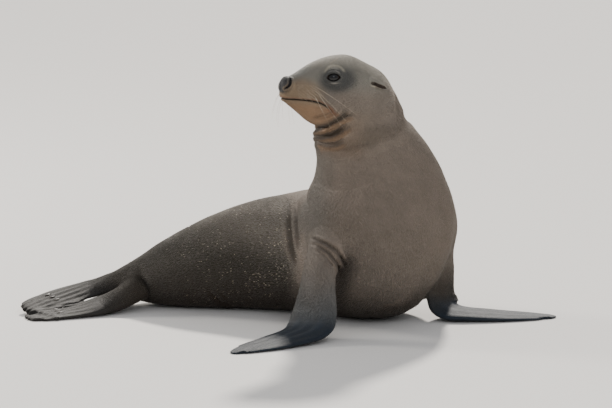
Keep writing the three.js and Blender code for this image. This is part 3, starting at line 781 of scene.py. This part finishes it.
def markings(p, places):
    """The animal's colour with painted light and shade, and how bare its skin is, at each point."""
    x, y, z = p.T
    q = head_place(p)
    m = np.column_stack([q[:, :2], np.abs(q[:, 2])])
    soft = cloud(p, 60) * 0.6 + cloud(p, 23, 5.0) * 0.4
    colour = np.tile(CHEST, (len(p), 1))
    colour = over(colour, SHOULDER, 0.7 * ease(-90, -150, x) * ease(120, 240, z) * ease(60, 0, y))
    colour = over(colour, NECK_BACK, 0.8 * ease(-20, 110, y) * ease(200, 330, z))
    flat = leaning(p)
    # painted shade on the near side of the neck, under the cheek
    shade_below_cheek = 1 - ease(0.3, 1.3, np.hypot((flat[:, 0] + 68) / 62, (flat[:, 1] - 388) / 50) + 0.1 * soft)
    colour = over(colour, shade(98, 88, 77), 0.8 * shade_below_cheek * ease(60, 10, y))
    behind = ease(-172, -206, x + 0.12 * y)
    colour = over(colour, FLANK, behind)
    colour = over(colour, NECK_BACK, 0.45 * behind * ease(130, 215, z + 0.16 * x + 60))
    # painted shade: the body darkens to a deep brown towards the floor
    colour = over(colour, UNDERSIDE_SHADE, 0.92 * ease(112, 16, z + 14 * soft))
    d = {name: LOFTS[name].measure(p, places[name]) for name in LOFTS if "_" in name}
    for name in ("fore_right", "fore_left"):
        index, near = places[name]
        row, _ = LOFTS[name].read(p[near], index[near])
        on = (1 - ease(1, 30, d[name][near])) * ease(0.14, 0.50, row[:, 0] + 0.06 * soft[near])
        colour[near] = over(colour[near], ARM if name == "fore_right" else ARM_IN_SHADE, on)
        across = dot(p[near] - row[:, 4:7], row[:, 10:13]) / np.maximum(row[:, 3], 1)
        hand = (1 - ease(1, 12, d[name][near])) * ease(0.40, 0.56, row[:, 0] + 0.03 * soft[near])
        # bare blade, unevenly toned, lighter along the digits and darker in the grooves between them as painted light
        # and shade
        tone = BLADE * (1 + 0.10 * np.cos(np.pi * 4 * (across + 1)) + 0.14 * soft[near])[:, None]
        colour[near] = over(colour[near], tone, hand)
    for name in ("hind_right", "hind_left"):
        index, near = places[name]
        row, _ = LOFTS[name].read(p[near], index[near])
        across = dot(p[near] - row[:, 4:7], row[:, 10:13]) / np.maximum(row[:, 3], 1)
        foot = (1 - ease(1, 12, d[name][near])) * ease(0.12, 0.42, row[:, 0] + 0.04 * soft[near])
        # bare hind blade, unevenly toned, lighter along the digits and darker in the grooves between them as painted
        # light and shade
        tone = HIND * (1 + 0.20 * np.cos(np.pi * 5 * (across + 1)) + 0.12 * soft[near])[:, None]
        colour[near] = over(colour[near], tone, foot)
    colour = over(colour, shade(58, 54, 48), 0.55 * ease(-400, -520, x))

    head = ease(-60, 20, m[:, 0] + 0.3 * m[:, 1]) * ease(200, 170, np.linalg.norm(m - (60, -20, 0), axis=1))
    head = head * ease(-118, -92, m[:, 1])
    colour = over(colour, CROWN, head * ease(-20, 25, m[:, 1]))
    colour = over(colour, CHEEK, head * ease(-20, -55, m[:, 1]))
    along, rise, out, far = eye_place(m)
    s = mouth_height(m)
    muzzle = ease(106, 150, m[:, 0] - 0.4 * m[:, 1]) * head
    colour = over(colour, MUZZLE, 0.85 * muzzle * ease(22, 0, m[:, 1] + 5 * soft))
    colour = over(colour, BRIDGE, 0.8 * ease(120, 150, m[:, 0]) * ease(24, 8, m[:, 2]) * ease(-8, 2, m[:, 1]) * head)
    colour = over(colour, JAW, 0.9 * ease(66, 104, m[:, 0]) * ease(2, -8, s) * ease(-30, -44, m[:, 1]) * head)
    # dark round the eye: its own darker fur, with painted shade in the socket and under the eye
    socket = 1 - ease(0.7, 1.4, np.hypot((along + 7) / 36, (rise + 4) / 24) + 0.08 * soft)
    colour = over(colour, EYE_RING_AND_SHADE, 0.85 * socket * ease(58, 48, far))
    colour = over(colour, shade(190, 182, 162), 0.55 * hill(np.hypot((along + 2) / 22, (rise - 1) / 24) - 1, 0.10)
                  * ease(8, 15, rise) * ease(44, 36, far))
    # painted highlight along the edge of the lower lid
    colour = over(colour, shade(158, 154, 146), 0.6 * hill(rise + 11.5, 1.6) * hill(along + 1, 10) * (far < 32))
    spots = whisker_spots(m)
    colour = over(colour, shade(84, 66, 50), 0.6 * spots * muzzle)

    lip = ease(88, 97, m[:, 0]) * (m[:, 0] < 205) * (m[:, 1] < 0)
    colour = over(colour, LIP, 0.6 * lip * hill(s - 3.0, 2.0))
    colour = over(colour, shade(30, 23, 19), lip * hill(s + 0.3, 2.3))
    corner = path_distance(m[:, :2], [(101, -42), (94, -47.5), (86, -53)])[0]
    colour = over(colour, shade(128, 78, 46), 0.6 * hill(corner, 4.5) * (m[:, 0] < 140) * head)
    pad = ellipsoid_distance(m, NOSE_PAD, NOSE_SIZE)
    on_nose = 1 - ease(-0.2, 2.2, pad + 0.6 * soft)
    colour = over(colour, NOSE, on_nose)
    nostril, _ = path_distance(m, NOSTRIL_PATH)
    # painted shade: the nostril slits near black inside
    colour = over(colour, shade(14, 11, 11), 1 - ease(1.9, 3.2, nostril))
    colour = over(colour, shade(24, 18, 15), (1 - ease(0.1, 1.8, lid_opening(along, rise))) * (out > 4) * (far < 27))
    hole, place = path_distance(m, EAR_HOLE)
    colour = over(colour, shade(190, 180, 160), 0.7 * hill(hole - 6.6, 1.5) * ease(17, 11, m[:, 1]) * ease(30, 20, m[:, 0]))
    # painted shade: the ear opening dark inside
    colour = over(colour, shade(46, 36, 29), 1 - ease(3.2, 5.2, hole))

    depth, dark = body_creases(p)
    # the throat's own faint tan, with painted light on the raised rolls beside the creases of throat and armpit
    throat = ease(-30, -75, x) * ease(355, 380, z) * ease(470, 440, z) * ease(10, -30, y)
    colour = over(colour, FOLD_TAN_AND_LIGHT, throat * (0.15 + 0.6 * ease(0.2, -1.2, depth)))
    pit = ease(-60, -85, x) * ease(210, 185, z) * ease(60, 90, z) * ease(60, 10, y)
    colour = over(colour, FOLD_TAN_AND_LIGHT, 0.15 * pit * ease(0.1, -1.4, depth))
    # painted shade in the creases
    colour = over(colour, FOLD_SHADE, 0.85 * dark)
    # painted shade in the gap between the near arm and the chest
    gap, _ = path_distance(flat, ARM_GAP_SHADE_PATH)
    colour = over(colour, shade(36, 26, 18), 0.8 * (1 - ease(2, 34, gap)) * ease(20, -40, y) * ease(1, 12, d["fore_right"]))
    colour = colour * (1 + 0.10 * soft)[:, None]

    bare = flipper_forms(p, places)[1]
    bare = np.maximum.reduce([bare, on_nose, lip * hill(s, 2.2), 1 - ease(0.3, 2.4, lid_opening(along, rise)
                              + 9 * (far > 26) + 9 * (out < 4)), 1 - ease(2.4, 4.6, hole)])
    return colour, bare


WHISKER_PLACES = [(row, column) for row in range(5) for column in range(5 if row in (0, 4) else 6)]


def whisker_roots():
    """Where the whiskers grow on the muzzle: five rows that fan back from the nose, as forward, up and across."""
    row, column = np.array(WHISKER_PLACES, float).T
    return np.column_stack([169 - 8 * column - 1.5 * row, 3 - 5.6 * row + 0.4 * column, 25 + 2.4 * column])


def whisker_spots(m):
    """1 at each whisker's root, fading out over 1.5 mm, seen from the side."""
    close = np.full(len(m), 99.0)
    for root in whisker_roots():
        close = np.minimum(close, np.hypot(*(m[:, :2] - root[:2]).T))
    return hill(close, 1.3)


def fur_lie(p, places):
    """Which way the coat lies: towards the tail on the body and head, towards the tip on the flippers."""
    lie, total = np.zeros_like(p), np.zeros(len(p))
    for name, loft in LOFTS.items():
        index, near = places[name]
        weight = np.exp(-np.clip(loft.measure(p, places[name])[near], -20, 60) / 7)
        towards = loft.table[index[near], 13:16] * (1 if "_" in name else -1)
        lie[near] += weight[:, None] * towards
        total[near] += weight
    return unit(lie)

# ---- the coat -----------------------------------------------------------------------------------------------

TUFT_FACES = np.array([[0, 1, 3], [0, 3, 2], [1, 2, 3], [0, 2, 1]])
TUFT_PATCH = np.array([[-1, -1], [1, -1], [0, 0.1], [0, 1]]) * 0.0015


def scatter(points, faces, weight, count, dice):
    """So many random places on the triangles, as often as their area times weight asks: each place's triangle
    and its shares of the three corners."""
    a, b, c = (points[faces[:, i]] for i in range(3))
    area = 0.5 * np.linalg.norm(np.cross(b - a, c - a), axis=1) * weight
    edge = np.concatenate([[0], np.cumsum(area)])
    place = (np.arange(count) + dice.random(count)) / count * edge[-1]
    face = np.clip(np.searchsorted(edge, place, side="right") - 1, 0, len(faces) - 1)
    u, v = dice.random((2, count))
    flip = u + v > 1
    u, v = np.where(flip, 1 - u, u), np.where(flip, 1 - v, v)
    return face, np.column_stack([1 - u - v, u, v])


def tufts(name, root, normal, lie, size, colour, patch, dice, material):
    """A piece of coat: each tuft is a flat closed wedge, left and right at its root, a low ridge between them, and
    a point at root + length * lie + lift * normal."""
    count = len(root)
    long, wide, lift = size.T * dice.uniform((0.75, 0.8, 0.4), (1.25, 1.2, 1.5), (count, 3)).T
    turn = dice.normal(0, 0.16, count) + 0.25 * cloud(root, 35)
    side = np.cross(normal, lie)
    lie = lie * np.cos(turn)[:, None] + side * np.sin(turn)[:, None]
    side = np.cross(normal, lie)
    long, wide, lift = long[:, None], wide[:, None], lift[:, None]
    foot = root - 0.35 * normal
    left, right = foot - 0.5 * wide * side, foot + 0.5 * wide * side
    ridge = root + 0.22 * wide * normal + 0.22 * long * lie
    tip = root + long * lie + lift * normal
    points = np.stack([left, right, ridge, tip], axis=1)
    points[:, :, 2] = np.maximum(points[:, :, 2], 0.15)
    points = points.reshape(-1, 3)
    faces = (TUFT_FACES[None] + 4 * np.arange(count)[:, None, None]).reshape(-1, 3)
    piece = build(name, place_in_metres(points), faces, material)
    tone = np.array([0.90, 0.90, 1.0, 1.08])[None, :] * dice.normal(1, 0.04, count)[:, None]
    attribute(piece, "markings", "FLOAT_COLOR", (colour[:, None] * tone[..., None]).reshape(-1, 3))
    corners = (patch[:, None] + TUFT_PATCH[None]).reshape(-1, 2)
    piece.data.uv_layers.new(name="OFBake").data.foreach_set("uv", corners[faces.ravel()].astype(np.float32).ravel())
    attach(piece, "root")
    return piece


def coat_regions(p, places):
    """Which loft each root grows on, and its place on that loft's unwrap: the share of the way along it and of the
    way round it."""
    nearest, region = np.full(len(p), 1e9), np.zeros(len(p), int)
    unwrap = np.zeros((len(p), 2))
    for number, (name, loft) in enumerate(LOFTS.items()):
        index, near = places[name]
        distance = loft.measure(p, places[name])[near]
        closer = distance < nearest[near]
        some = near[closer]
        nearest[some] = distance[closer]
        row, _ = loft.read(p[some], index[some])
        out = p[some] - row[:, 4:7]
        around = np.arctan2(dot(out, row[:, 7:10]) / np.maximum(row[:, 2], 1),
                            dot(out, row[:, 10:13]) / np.maximum(row[:, 3], 1))
        unwrap[some] = np.column_stack([row[:, 1] / loft.total, around / (2 * np.pi) + 0.5])
        region[some] = number
    return region, unwrap


LARGEST_COAT_PIECE = 47000


def grow_coat(points, faces, normals, colour, bare, material):
    """Tufts over all the furred skin, in pieces of the torso, the head and each pair of flippers."""
    dice = np.random.default_rng(2)
    middles = points[faces].mean(1)
    q = head_place(middles)
    m = np.column_stack([q[:, :2], np.abs(q[:, 2])])
    on_head = ease(-60, 10, m[:, 0]) * (np.linalg.norm(m - (60, -20, 0), axis=1) < 190)
    on_face = ease(70, 130, m[:, 0]) * on_head
    eye_far = np.linalg.norm(m - EYE, axis=1)
    on_face = np.maximum(on_face, 0.8 * ease(40, 26, eye_far) * on_head)
    on_face = np.maximum(on_face, ease(16, 9, path_distance(m, EAR_HOLE)[0]))
    weight = 0.25 + 0.30 * on_head + 0.75 * on_face
    weight = weight * (1 - bare[faces].max(1)) * (middles[:, 2] > 2.5)
    a, b, c = (points[faces[:, i]] for i in range(3))
    area = 0.5 * np.linalg.norm(np.cross(b - a, c - a), axis=1)
    count = int((area * weight).sum())
    face, share = scatter(points, faces, weight, count, dice)
    corners = faces[face]
    root = (points[corners] * share[..., None]).sum(1)
    normal = unit((normals[corners] * share[..., None]).sum(1))
    places = find_places(root)
    lie = fur_lie(root, places)
    lie = unit(lie - dot(lie, normal)[:, None] * normal + 1e-6)
    head, front = on_head[face][:, None], on_face[face][:, None]
    size = np.array([10.5, 1.9, 1.0]) + head * (np.array([6.6, 1.4, 0.6]) - np.array([10.5, 1.9, 1.0]))
    size = size + front * (np.array([3.2, 0.95, 0.32]) - size)
    region, unwrap = coat_regions(root, places)
    size = size * np.where(region >= 2, 0.62, 1.0)[:, None]
    tint = markings(root, places)[0]
    grains = (dice.random(count) < 0.10 * sand(root)) & (region == 0)
    size = np.where(grains[:, None], size * (0.34, 1.1, 1.0), size)
    tint = over(tint, SAND, grains * dice.uniform(0.7, 1, count))
    groups = [("head", region == 1), ("foreflippers", (region == 2) | (region == 3)), ("hind", region >= 4)]
    body = np.flatnonzero(region == 0)
    ordered = body[np.argsort(unwrap[body, 0], kind="stable")]
    pieces = max(1, math.ceil(len(ordered) / LARGEST_COAT_PIECE))
    groups += [(f"body_{i + 1}", part) for i, part in enumerate(np.array_split(ordered, pieces))]
    made = []
    for name, chosen in groups:
        chosen = np.flatnonzero(chosen) if chosen.dtype == bool else chosen
        patch = unwrap[chosen]
        low, high = patch[:, 0].min(), patch[:, 0].max()
        patch = np.column_stack([(patch[:, 0] - low) / max(high - low, 1e-6), patch[:, 1]])
        halves = (region[chosen] % 2)[:, None] * np.array([[0.0, 0.5]])
        if name in ("foreflippers", "hind"):
            patch = patch * (1, 0.5) + halves
        patch = 0.003 + 0.994 * patch
        parts = math.ceil(len(chosen) / LARGEST_COAT_PIECE)
        for i, some in enumerate(np.array_split(np.arange(len(chosen)), parts)):
            number = chosen[some]
            label = f"coat_{name}" + (f"_{i + 1}" if parts > 1 else "")
            made.append(tufts(label, root[number], normal[number], lie[number], size[number], tint[number],
                              patch[some], dice, material))
    return made


def sand(p):
    """How much dried sand clings to the coat: most along the middle of the flank, in loose patches."""
    x, _, z = p.T
    band = ease(-470, -400, x) * ease(-170, -230, x) * hill(z - 120 - 0.06 * (x + 300), 75)
    return band * (0.2 + 0.8 * ease(-0.5, 0.7, cloud(p, 60, 9.0) + 0.4 * cloud(p, 17, 3.0)))


# ---- eyes, claws and whiskers -------------------------------------------------------------------------------


def ball(name, centre, out, rise, material):
    """An eyeball: rings at angle a from the way it looks, of radius R + 1.3 (1 - (a / 0.62)^2)^2 where the clear
    front bulges, which its ring attribute counts from 0 in the middle to 1 at the back."""
    line = np.cross(rise, out)
    angle = np.concatenate([np.linspace(0.02, 0.75, 26), np.linspace(0.8, np.pi - 0.03, 22)])
    around = np.linspace(0, 2 * np.pi, 48, endpoint=False)
    radius = EYE_RADIUS + 1.1 * np.clip(1 - (angle / 0.62) ** 2, 0, 1) ** 2
    a, t = np.meshgrid(angle, around, indexing="ij")
    r = np.repeat(radius, len(around)).reshape(a.shape)[..., None]
    points = r * (np.cos(a)[..., None] * out + np.sin(a)[..., None]
                  * (np.cos(t)[..., None] * line + np.sin(t)[..., None] * rise))
    ends = np.array([radius[0] * out, -radius[-1] * out])
    points, faces = closed_grid(points.reshape(-1, 3), len(angle), len(around), ends)
    piece = build(name, place_in_metres(points + centre), outward(points, faces), material)
    attribute(piece, "ring", "FLOAT", np.append(a.ravel(), [0, np.pi]) / np.pi)
    return piece


def tube(path, radius, sides):
    """A round tube: rings of a radius about the points of each path, closed at both ends. path is (n, rings, 3)
    and radius (n, rings), so many tubes are made at once."""
    along = unit(np.gradient(path, axis=1))
    across = unit(np.cross(along, np.array([0.3, 0.2, 0.93])))
    third = np.cross(along, across)
    angle = np.linspace(0, 2 * np.pi, sides, endpoint=False)[:, None]
    ring = np.cos(angle) * across[:, :, None] + np.sin(angle) * third[:, :, None]
    points = path[:, :, None] + radius[..., None, None] * ring
    n, rings = radius.shape
    ends = path[:, [0, -1]]
    every, faces = [], []
    for i in range(n):
        p, f = closed_grid(points[i].reshape(-1, 3), rings, sides, ends[i])
        faces.append(outward(p, f) + i * len(p))
        every.append(p)
    return np.vstack(every), np.vstack(faces)


# row and column of the long whiskers, and where each one's tip lies from its root, as forward, up and across
LONG_WHISKERS = {
    "left": [((1, 5), (-82, -50, 40)), ((2, 4), (-66, -62, 44)), ((3, 5), (-48, -66, 38)), ((4, 4), (-26, -60, 34))],
    "right": [((1, 3), (-8, -80, 44)), ((2, 1), (10, -72, 34)), ((2, 4), (-30, -84, 46)), ((3, 0), (12, -58, 22)),
              ((3, 2), (2, -86, 32)), ((4, 1), (8, -64, 20)), ((4, 3), (-14, -74, 26))],
}


def whiskers(material):
    """Bristles of the muzzle, most of them short and close to it, and a few long ones that bend down to their tips:
    p = root + way L (u - u^2) + tip u^2, where way is between the skin's normal and the tip's direction."""
    dice = np.random.default_rng(5)
    roots = whisker_roots()
    u = np.linspace(0, 1, 14)[:, None]
    for side, label in ((1, "left"), (-1, "right")):
        start, normal = settle(head_point(roots * (1, 1, side)), 14, longest=2.0)
        tip = np.array([-9.0, -9.0, 4.0]) * dice.uniform(0.8, 1.3, (len(roots), 3))
        tip += (165 - roots[:, :1]) / 40 * (-7, -3, 2)
        for place, far_tip in LONG_WHISKERS[label]:
            tip[WHISKER_PLACES.index(place)] = far_tip
        tip[:, 2] *= side
        length = np.linalg.norm(tip, axis=1)
        way = unit(0.5 * normal @ HEAD_AXES.T + 0.5 * unit(tip) + dice.normal(0, 0.05, tip.shape))
        path = (way * length[:, None])[:, None] * (u - u * u) + tip[:, None] * u * u
        path = start[:, None] - 0.6 * normal[:, None] + path @ HEAD_AXES
        radius = np.where(length > 40, 0.36, 0.26)[:, None] * (1 - 0.8 * u.T)
        points, faces = tube(path, radius, 6)
        piece = build(f"whiskers_{label}", place_in_metres(points), faces, material)
        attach(piece, "root")


def brow_bristles(material):
    """Three short bristles over each eye."""
    u = np.linspace(0, 1, 8)[:, None]
    roots = np.array([(92, 54, 28), (98, 53, 29), (86, 55, 26)], float)
    paths, radii = [], []
    for side in (1, -1):
        start, normal = settle(head_point(roots * (1, 1, side)), 10, longest=2.0)
        way = unit(normal - 0.5 * HEAD_FORWARD)
        paths.append(start[:, None] - 0.5 * normal[:, None] + 20 * (way[:, None] * u + [[[0, 0, -0.3]]] * u * u))
        radii.append(np.repeat(0.26 * (1 - 0.8 * u.T), len(roots), axis=0))
    points, faces = tube(np.vstack(paths), np.vstack(radii), 5)
    piece = build("brow_bristles", place_in_metres(points), faces, material)
    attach(piece, "root")


def claw(name, centre, along, up, material):
    """A small nail: a flat round tube along an arch, 2.4 mm half-wide in its middle and pointed at its tip."""
    u = np.linspace(-1, 1, 18)
    path = centre + 8 * u[:, None] * along + 1.2 * (1 - (u[:, None] - 0.1) ** 2) * up
    radius = 2.3 * np.sqrt(np.clip(1 - np.abs(u) ** 3, 0, 1)) * (1 - 0.35 * np.clip(u, 0, 1)) + 0.02
    points, faces = tube(path[None], radius[None], 14)
    height = (points - centre) @ up
    points = points - 0.3 * height[:, None] * up
    piece = build(name, place_in_metres(points), faces, material)
    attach(piece, "root")
    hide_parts(name)


# ---- finishes -----------------------------------------------------------------------------------------------


class Wire:
    """A value on its way between two shader nodes, so that shader maths reads as arithmetic."""

    def __init__(self, finish, socket):
        self.finish, self.socket = finish, socket

    def maths(self, operation, first, second):
        return self.finish.add("ShaderNodeMath", {"operation": operation}, {0: first, 1: second})

    def __add__(self, other):
        return self.maths("ADD", self, other)

    def __sub__(self, other):
        return self.maths("SUBTRACT", self, other)

    def __mul__(self, other):
        return self.maths("MULTIPLY", self, other)

    def __radd__(self, other):
        return self.maths("ADD", other, self)

    def __rsub__(self, other):
        return self.maths("SUBTRACT", other, self)

    def __rmul__(self, other):
        return self.maths("MULTIPLY", other, self)


class Finish:
    """A material being made from shader nodes."""

    def __init__(self, name):
        self.material = bpy.data.materials.new(name)
        self.material.use_nodes = True
        self.tree = self.material.node_tree
        self.tree.nodes.clear()
        self.position = self.add("ShaderNodeTexCoord", output="Object")

    def add(self, kind, settings=None, inputs=None, output=0):
        """A node of a kind, its settings made first, then its sockets' values or wires; gives one output."""
        node = self.tree.nodes.new(kind)
        for key, value in (settings or {}).items():
            if key == "stops":
                ramp = node.color_ramp
                while len(ramp.elements) < len(value):
                    ramp.elements.new(0.5)
                for stop, (place, colour) in zip(ramp.elements, value):
                    stop.position, stop.color = place, colour
            else:
                setattr(node, key, value)
        for key, value in (inputs or {}).items():
            if isinstance(value, Wire):
                self.tree.links.new(value.socket, node.inputs[key])
            else:
                node.inputs[key].default_value = value
        return Wire(self, node.outputs[output])

    def noise(self, scale, detail=3.0, rough=0.5):
        inputs = {"Vector": self.position, "Scale": scale, "Detail": detail, "Roughness": rough}
        return self.add("ShaderNodeTexNoise", inputs=inputs)

    def mixed(self, share, first, second, blend="MIX"):
        return self.add("ShaderNodeMix", {"data_type": "RGBA", "blend_type": blend}, {0: share, 6: first, 7: second}, 2)

    def kept(self, name, output="Fac"):
        return self.add("ShaderNodeAttribute", {"attribute_name": name}, output=output)

    def surface(self, height=None, depth=0.0005, **sockets):
        """The closing shader, with bumps of a height in metres."""
        inputs = {key.replace("_", " "): value for key, value in sockets.items()}
        if height is not None:
            inputs["Normal"] = self.add("ShaderNodeBump", inputs={"Height": height, "Distance": depth}, output=0)
        shader = self.add("ShaderNodeBsdfPrincipled", inputs=inputs)
        end = self.tree.nodes.new("ShaderNodeOutputMaterial")
        self.tree.links.new(shader.socket, end.inputs["Surface"])
        return self.material


def skin_finish():
    """Short close fur over most of the skin, and leathery bare skin on flippers, nose and lips."""
    f = Finish("skin")
    bare = f.kept("bare")
    grain = f.noise(620, 4.0, 0.65)
    wrinkle = f.add("ShaderNodeTexVoronoi", {"feature": "DISTANCE_TO_EDGE"},
                    {"Vector": f.position, "Scale": 330.0}, "Distance")
    fine = f.add("ShaderNodeTexVoronoi", {"feature": "DISTANCE_TO_EDGE"},
                 {"Vector": f.position, "Scale": 900.0}, "Distance")
    leather = wrinkle * 1.1 + fine * 0.7 + grain * 0.3
    blotch = f.noise(38, 4.0, 0.6)
    tone = f.add("ShaderNodeValToRGB", {"stops": [(0.32, (0.84, 0.83, 0.82, 1)), (0.68, (1.12, 1.12, 1.13, 1))]},
                 {"Fac": blotch * 0.6 + grain * 0.4}, "Color")
    colour = f.mixed(1.0, f.kept("markings", "Color"), tone, "MULTIPLY")
    rough = 0.68 - 0.12 * bare + 0.14 * (f.noise(90) - 0.5)
    height = leather * bare + grain * (1 - bare)
    return f.surface(height, 0.0006, Base_Color=colour, Roughness=rough, Specular_IOR_Level=0.18, Sheen_Weight=0.03,
                     Sheen_Roughness=0.45, Sheen_Tint=(0.95, 0.9, 0.84, 1.0))


def coat_finish():
    """Dry fur: each tuft's own colour with its painted light and shade, a little uneven, with a soft bloom where light
    grazes it.
    """
    f = Finish("coat")
    blotch = f.noise(38, 4.0, 0.6)
    fine = f.noise(420, 2.0, 0.5)
    tone = f.add("ShaderNodeValToRGB", {"stops": [(0.32, (0.84, 0.83, 0.82, 1)), (0.68, (1.13, 1.13, 1.14, 1))]},
                 {"Fac": blotch * 0.5 + fine * 0.5}, "Color")
    colour = f.mixed(1.0, f.kept("markings", "Color"), tone, "MULTIPLY")
    rough = 0.56 + 0.16 * fine
    return f.surface(fine, 0.0002, Base_Color=colour, Roughness=rough, Specular_IOR_Level=0.34, Sheen_Weight=0.17,
                     Sheen_Roughness=0.4, Sheen_Tint=(1.0, 0.94, 0.86, 1.0))


def eye_finish():
    """Wet and nearly black: a dark pupil, a brown iris with fine spokes, and a darker rim and white."""
    f = Finish("eye")
    spokes = f.noise(900, 2.0, 0.6)
    ring = f.kept("ring") + 0.008 * (spokes - 0.5)
    stops = [(0.0, (0.002, 0.002, 0.003, 1)), (0.18, (0.003, 0.003, 0.003, 1)), (0.2, (0.016, 0.009, 0.005, 1)),
             (0.25, (0.020, 0.011, 0.007, 1)), (0.27, (0.006, 0.004, 0.004, 1)), (0.33, (0.05, 0.036, 0.03, 1))]
    colour = f.add("ShaderNodeValToRGB", {"stops": stops}, {"Fac": ring}, "Color")
    return f.surface(None, Base_Color=colour, Roughness=0.10 + 0.05 * spokes, Specular_IOR_Level=0.28, Coat_Weight=0.2,
                     Coat_Roughness=0.05)


def claw_finish():
    """Dark horn with fine lengthwise grain."""
    f = Finish("claw")
    grain = f.noise(700, 3.0, 0.6)
    stops = [(0.3, (0.018, 0.014, 0.011, 1)), (0.7, (0.06, 0.045, 0.034, 1))]
    colour = f.add("ShaderNodeValToRGB", {"stops": stops}, {"Fac": grain}, "Color")
    return f.surface(grain, 0.0002, Base_Color=colour, Roughness=0.34 + 0.14 * grain)


def whisker_finish():
    """Stiff straw-coloured bristles."""
    f = Finish("whisker")
    uneven = f.noise(160, 2.0, 0.5)
    stops = [(0.3, (0.42, 0.33, 0.22, 1)), (0.7, (0.72, 0.64, 0.52, 1))]
    colour = f.add("ShaderNodeValToRGB", {"stops": stops}, {"Fac": uneven}, "Color")
    return f.surface(None, Base_Color=colour, Roughness=0.34 + 0.1 * uneven, Specular_IOR_Level=0.6)


def floor_finish():
    f = Finish("floor")
    speck = f.noise(240, 3.0, 0.6)
    stops = [(0.3, (0.70, 0.68, 0.65, 1)), (0.7, (0.76, 0.74, 0.71, 1))]
    colour = f.add("ShaderNodeValToRGB", {"stops": stops}, {"Fac": speck}, "Color")
    return f.surface(None, Base_Color=colour, Roughness=0.8 + 0.1 * speck)


# ---- putting it together ------------------------------------------------------------------------------------

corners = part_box("eye_left")
SHIFT = 0.5 * (np.array(corners[0]) + np.array(corners[1])) / MM - head_point(EYE)


def place_in_metres(points):
    return (points + SHIFT) * MM


def make_skin():
    """The skin's points, triangles and normals: the rough mesh settled on the skin and refined where needed."""
    points, faces = rough_skin()
    points, normals = settle(points, 4, details=False)
    for _ in range(2):
        points = relax(points, faces, normals, 0.5, 3)
        points, normals = settle(points, 3)
    for sharp, least in ((34, 3.2), (34, 2.6), (34, 1.7), (32, 1.15)):
        points, faces = refine(points, faces, normals, sharp, least)
        points, normals = settle(points, 2)
        points = relax(points, faces, normals, 0.4, 2)
        points, normals = settle(points, 2)
    return settle(points, 3) + (faces,)


skin_points, skin_normals, skin_faces = make_skin()
skin_places = find_places(skin_points)
skin_colour, skin_bare = markings(skin_points, skin_places)
hide = build("skin", place_in_metres(skin_points), outward(skin_points, skin_faces), skin_finish())
attribute(hide, "markings", "FLOAT_COLOR", skin_colour)
attribute(hide, "bare", "FLOAT", skin_bare)
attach(hide, "root")
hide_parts(*[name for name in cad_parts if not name.startswith(("eye_", "claw_"))])

grow_coat(skin_points, skin_faces, skin_normals, skin_colour, skin_bare, coat_finish())

eye_material = eye_finish()
for side, label in ((1, "left"), (-1, "right")):
    mirror = np.array([1, 1, side])
    out, rise = (EYE_OUT * mirror) @ HEAD_AXES, (EYE_RISE * mirror) @ HEAD_AXES
    eye = ball(f"eye_{label}_ball", head_point(EYE * mirror), out, rise, eye_material)
    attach(eye, "root")
    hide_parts(f"eye_{label}")

claw_material = claw_finish()
for side in ("right", "left"):
    loft = LOFTS[f"hind_{side}"]
    row = loft.table[int(0.72 * (len(loft.table) - 1))]
    at, up, lead, along = row[4:7], row[7:10], row[10:13], row[13:16]
    up = up * np.sign(up[2])
    for number, across in enumerate((-0.42, 0.0, 0.42)):
        centre = at + row[3] * across * lead + row[2] * math.sqrt(1 - across**2) * up
        claw(f"claw_{side}_{number + 2}", centre, along, up, claw_material)

bristle = whisker_finish()
whiskers(bristle)
brow_bristles(bristle)

# ---- floor, light and camera --------------------------------------------------------------------------------

floor_points = np.array([(-40, -40, 0), (40, -40, 0), (40, 40, 0), (-40, 40, 0)], float)
floor = build("floor", floor_points, np.array([[0, 1, 2, 3]]), floor_finish(), smooth=False)


def lamp(name, place, aim, size, power, colour):
    """A square soft light that points at aim."""
    light = bpy.data.lights.new(name, "AREA")
    light.shape, light.size, light.energy, light.color = "SQUARE", size, power, colour
    holder = bpy.data.objects.new(name, light)
    bpy.context.scene.collection.objects.link(holder)
    holder.location = place
    holder.rotation_euler = (Vector(aim) - Vector(place)).to_track_quat("-Z", "Y").to_euler()


sun = bpy.data.lights.new("high_back_light", "SUN")
sun.energy, sun.angle, sun.color = 5.0, 0.10, (1.0, 0.95, 0.88)
sun_holder = bpy.data.objects.new("high_back_light", sun)
bpy.context.scene.collection.objects.link(sun_holder)
sun_holder.rotation_euler = Vector((0.15, 1.0, 0.85)).to_track_quat("Z", "Y").to_euler()
lamp("side_strip", (-3.4, 1.6, 1.6), (0, 0, 0.2), 0.8, 90, (1.0, 0.96, 0.90))
lamp("front_fill", (1.2, -4.6, 3.4), (0, 0, 0.25), 2.6, 55, (0.92, 0.96, 1.0))

world = bpy.data.worlds.new("pale room")
bpy.context.scene.world = world
world.use_nodes = True
world.node_tree.nodes["Background"].inputs[0].default_value = (0.95, 0.96, 1.0, 1.0)
world.node_tree.nodes["Background"].inputs[1].default_value = 0.62

WIDTH, FOCAL = 612, 3333
view = bpy.data.cameras.new("camera")
view.sensor_width = 36
view.lens = FOCAL / WIDTH * view.sensor_width
view.clip_end = 100
camera = bpy.data.objects.new("camera", view)
bpy.context.scene.collection.objects.link(camera)
aim = Vector((0.0389, 0.0108, 0.252))
camera.location = aim - 7 * Vector((0, math.cos(LEAN), -math.sin(LEAN)))
camera.rotation_euler = (math.pi / 2 - LEAN, 0, 0)
bpy.context.scene.camera = camera
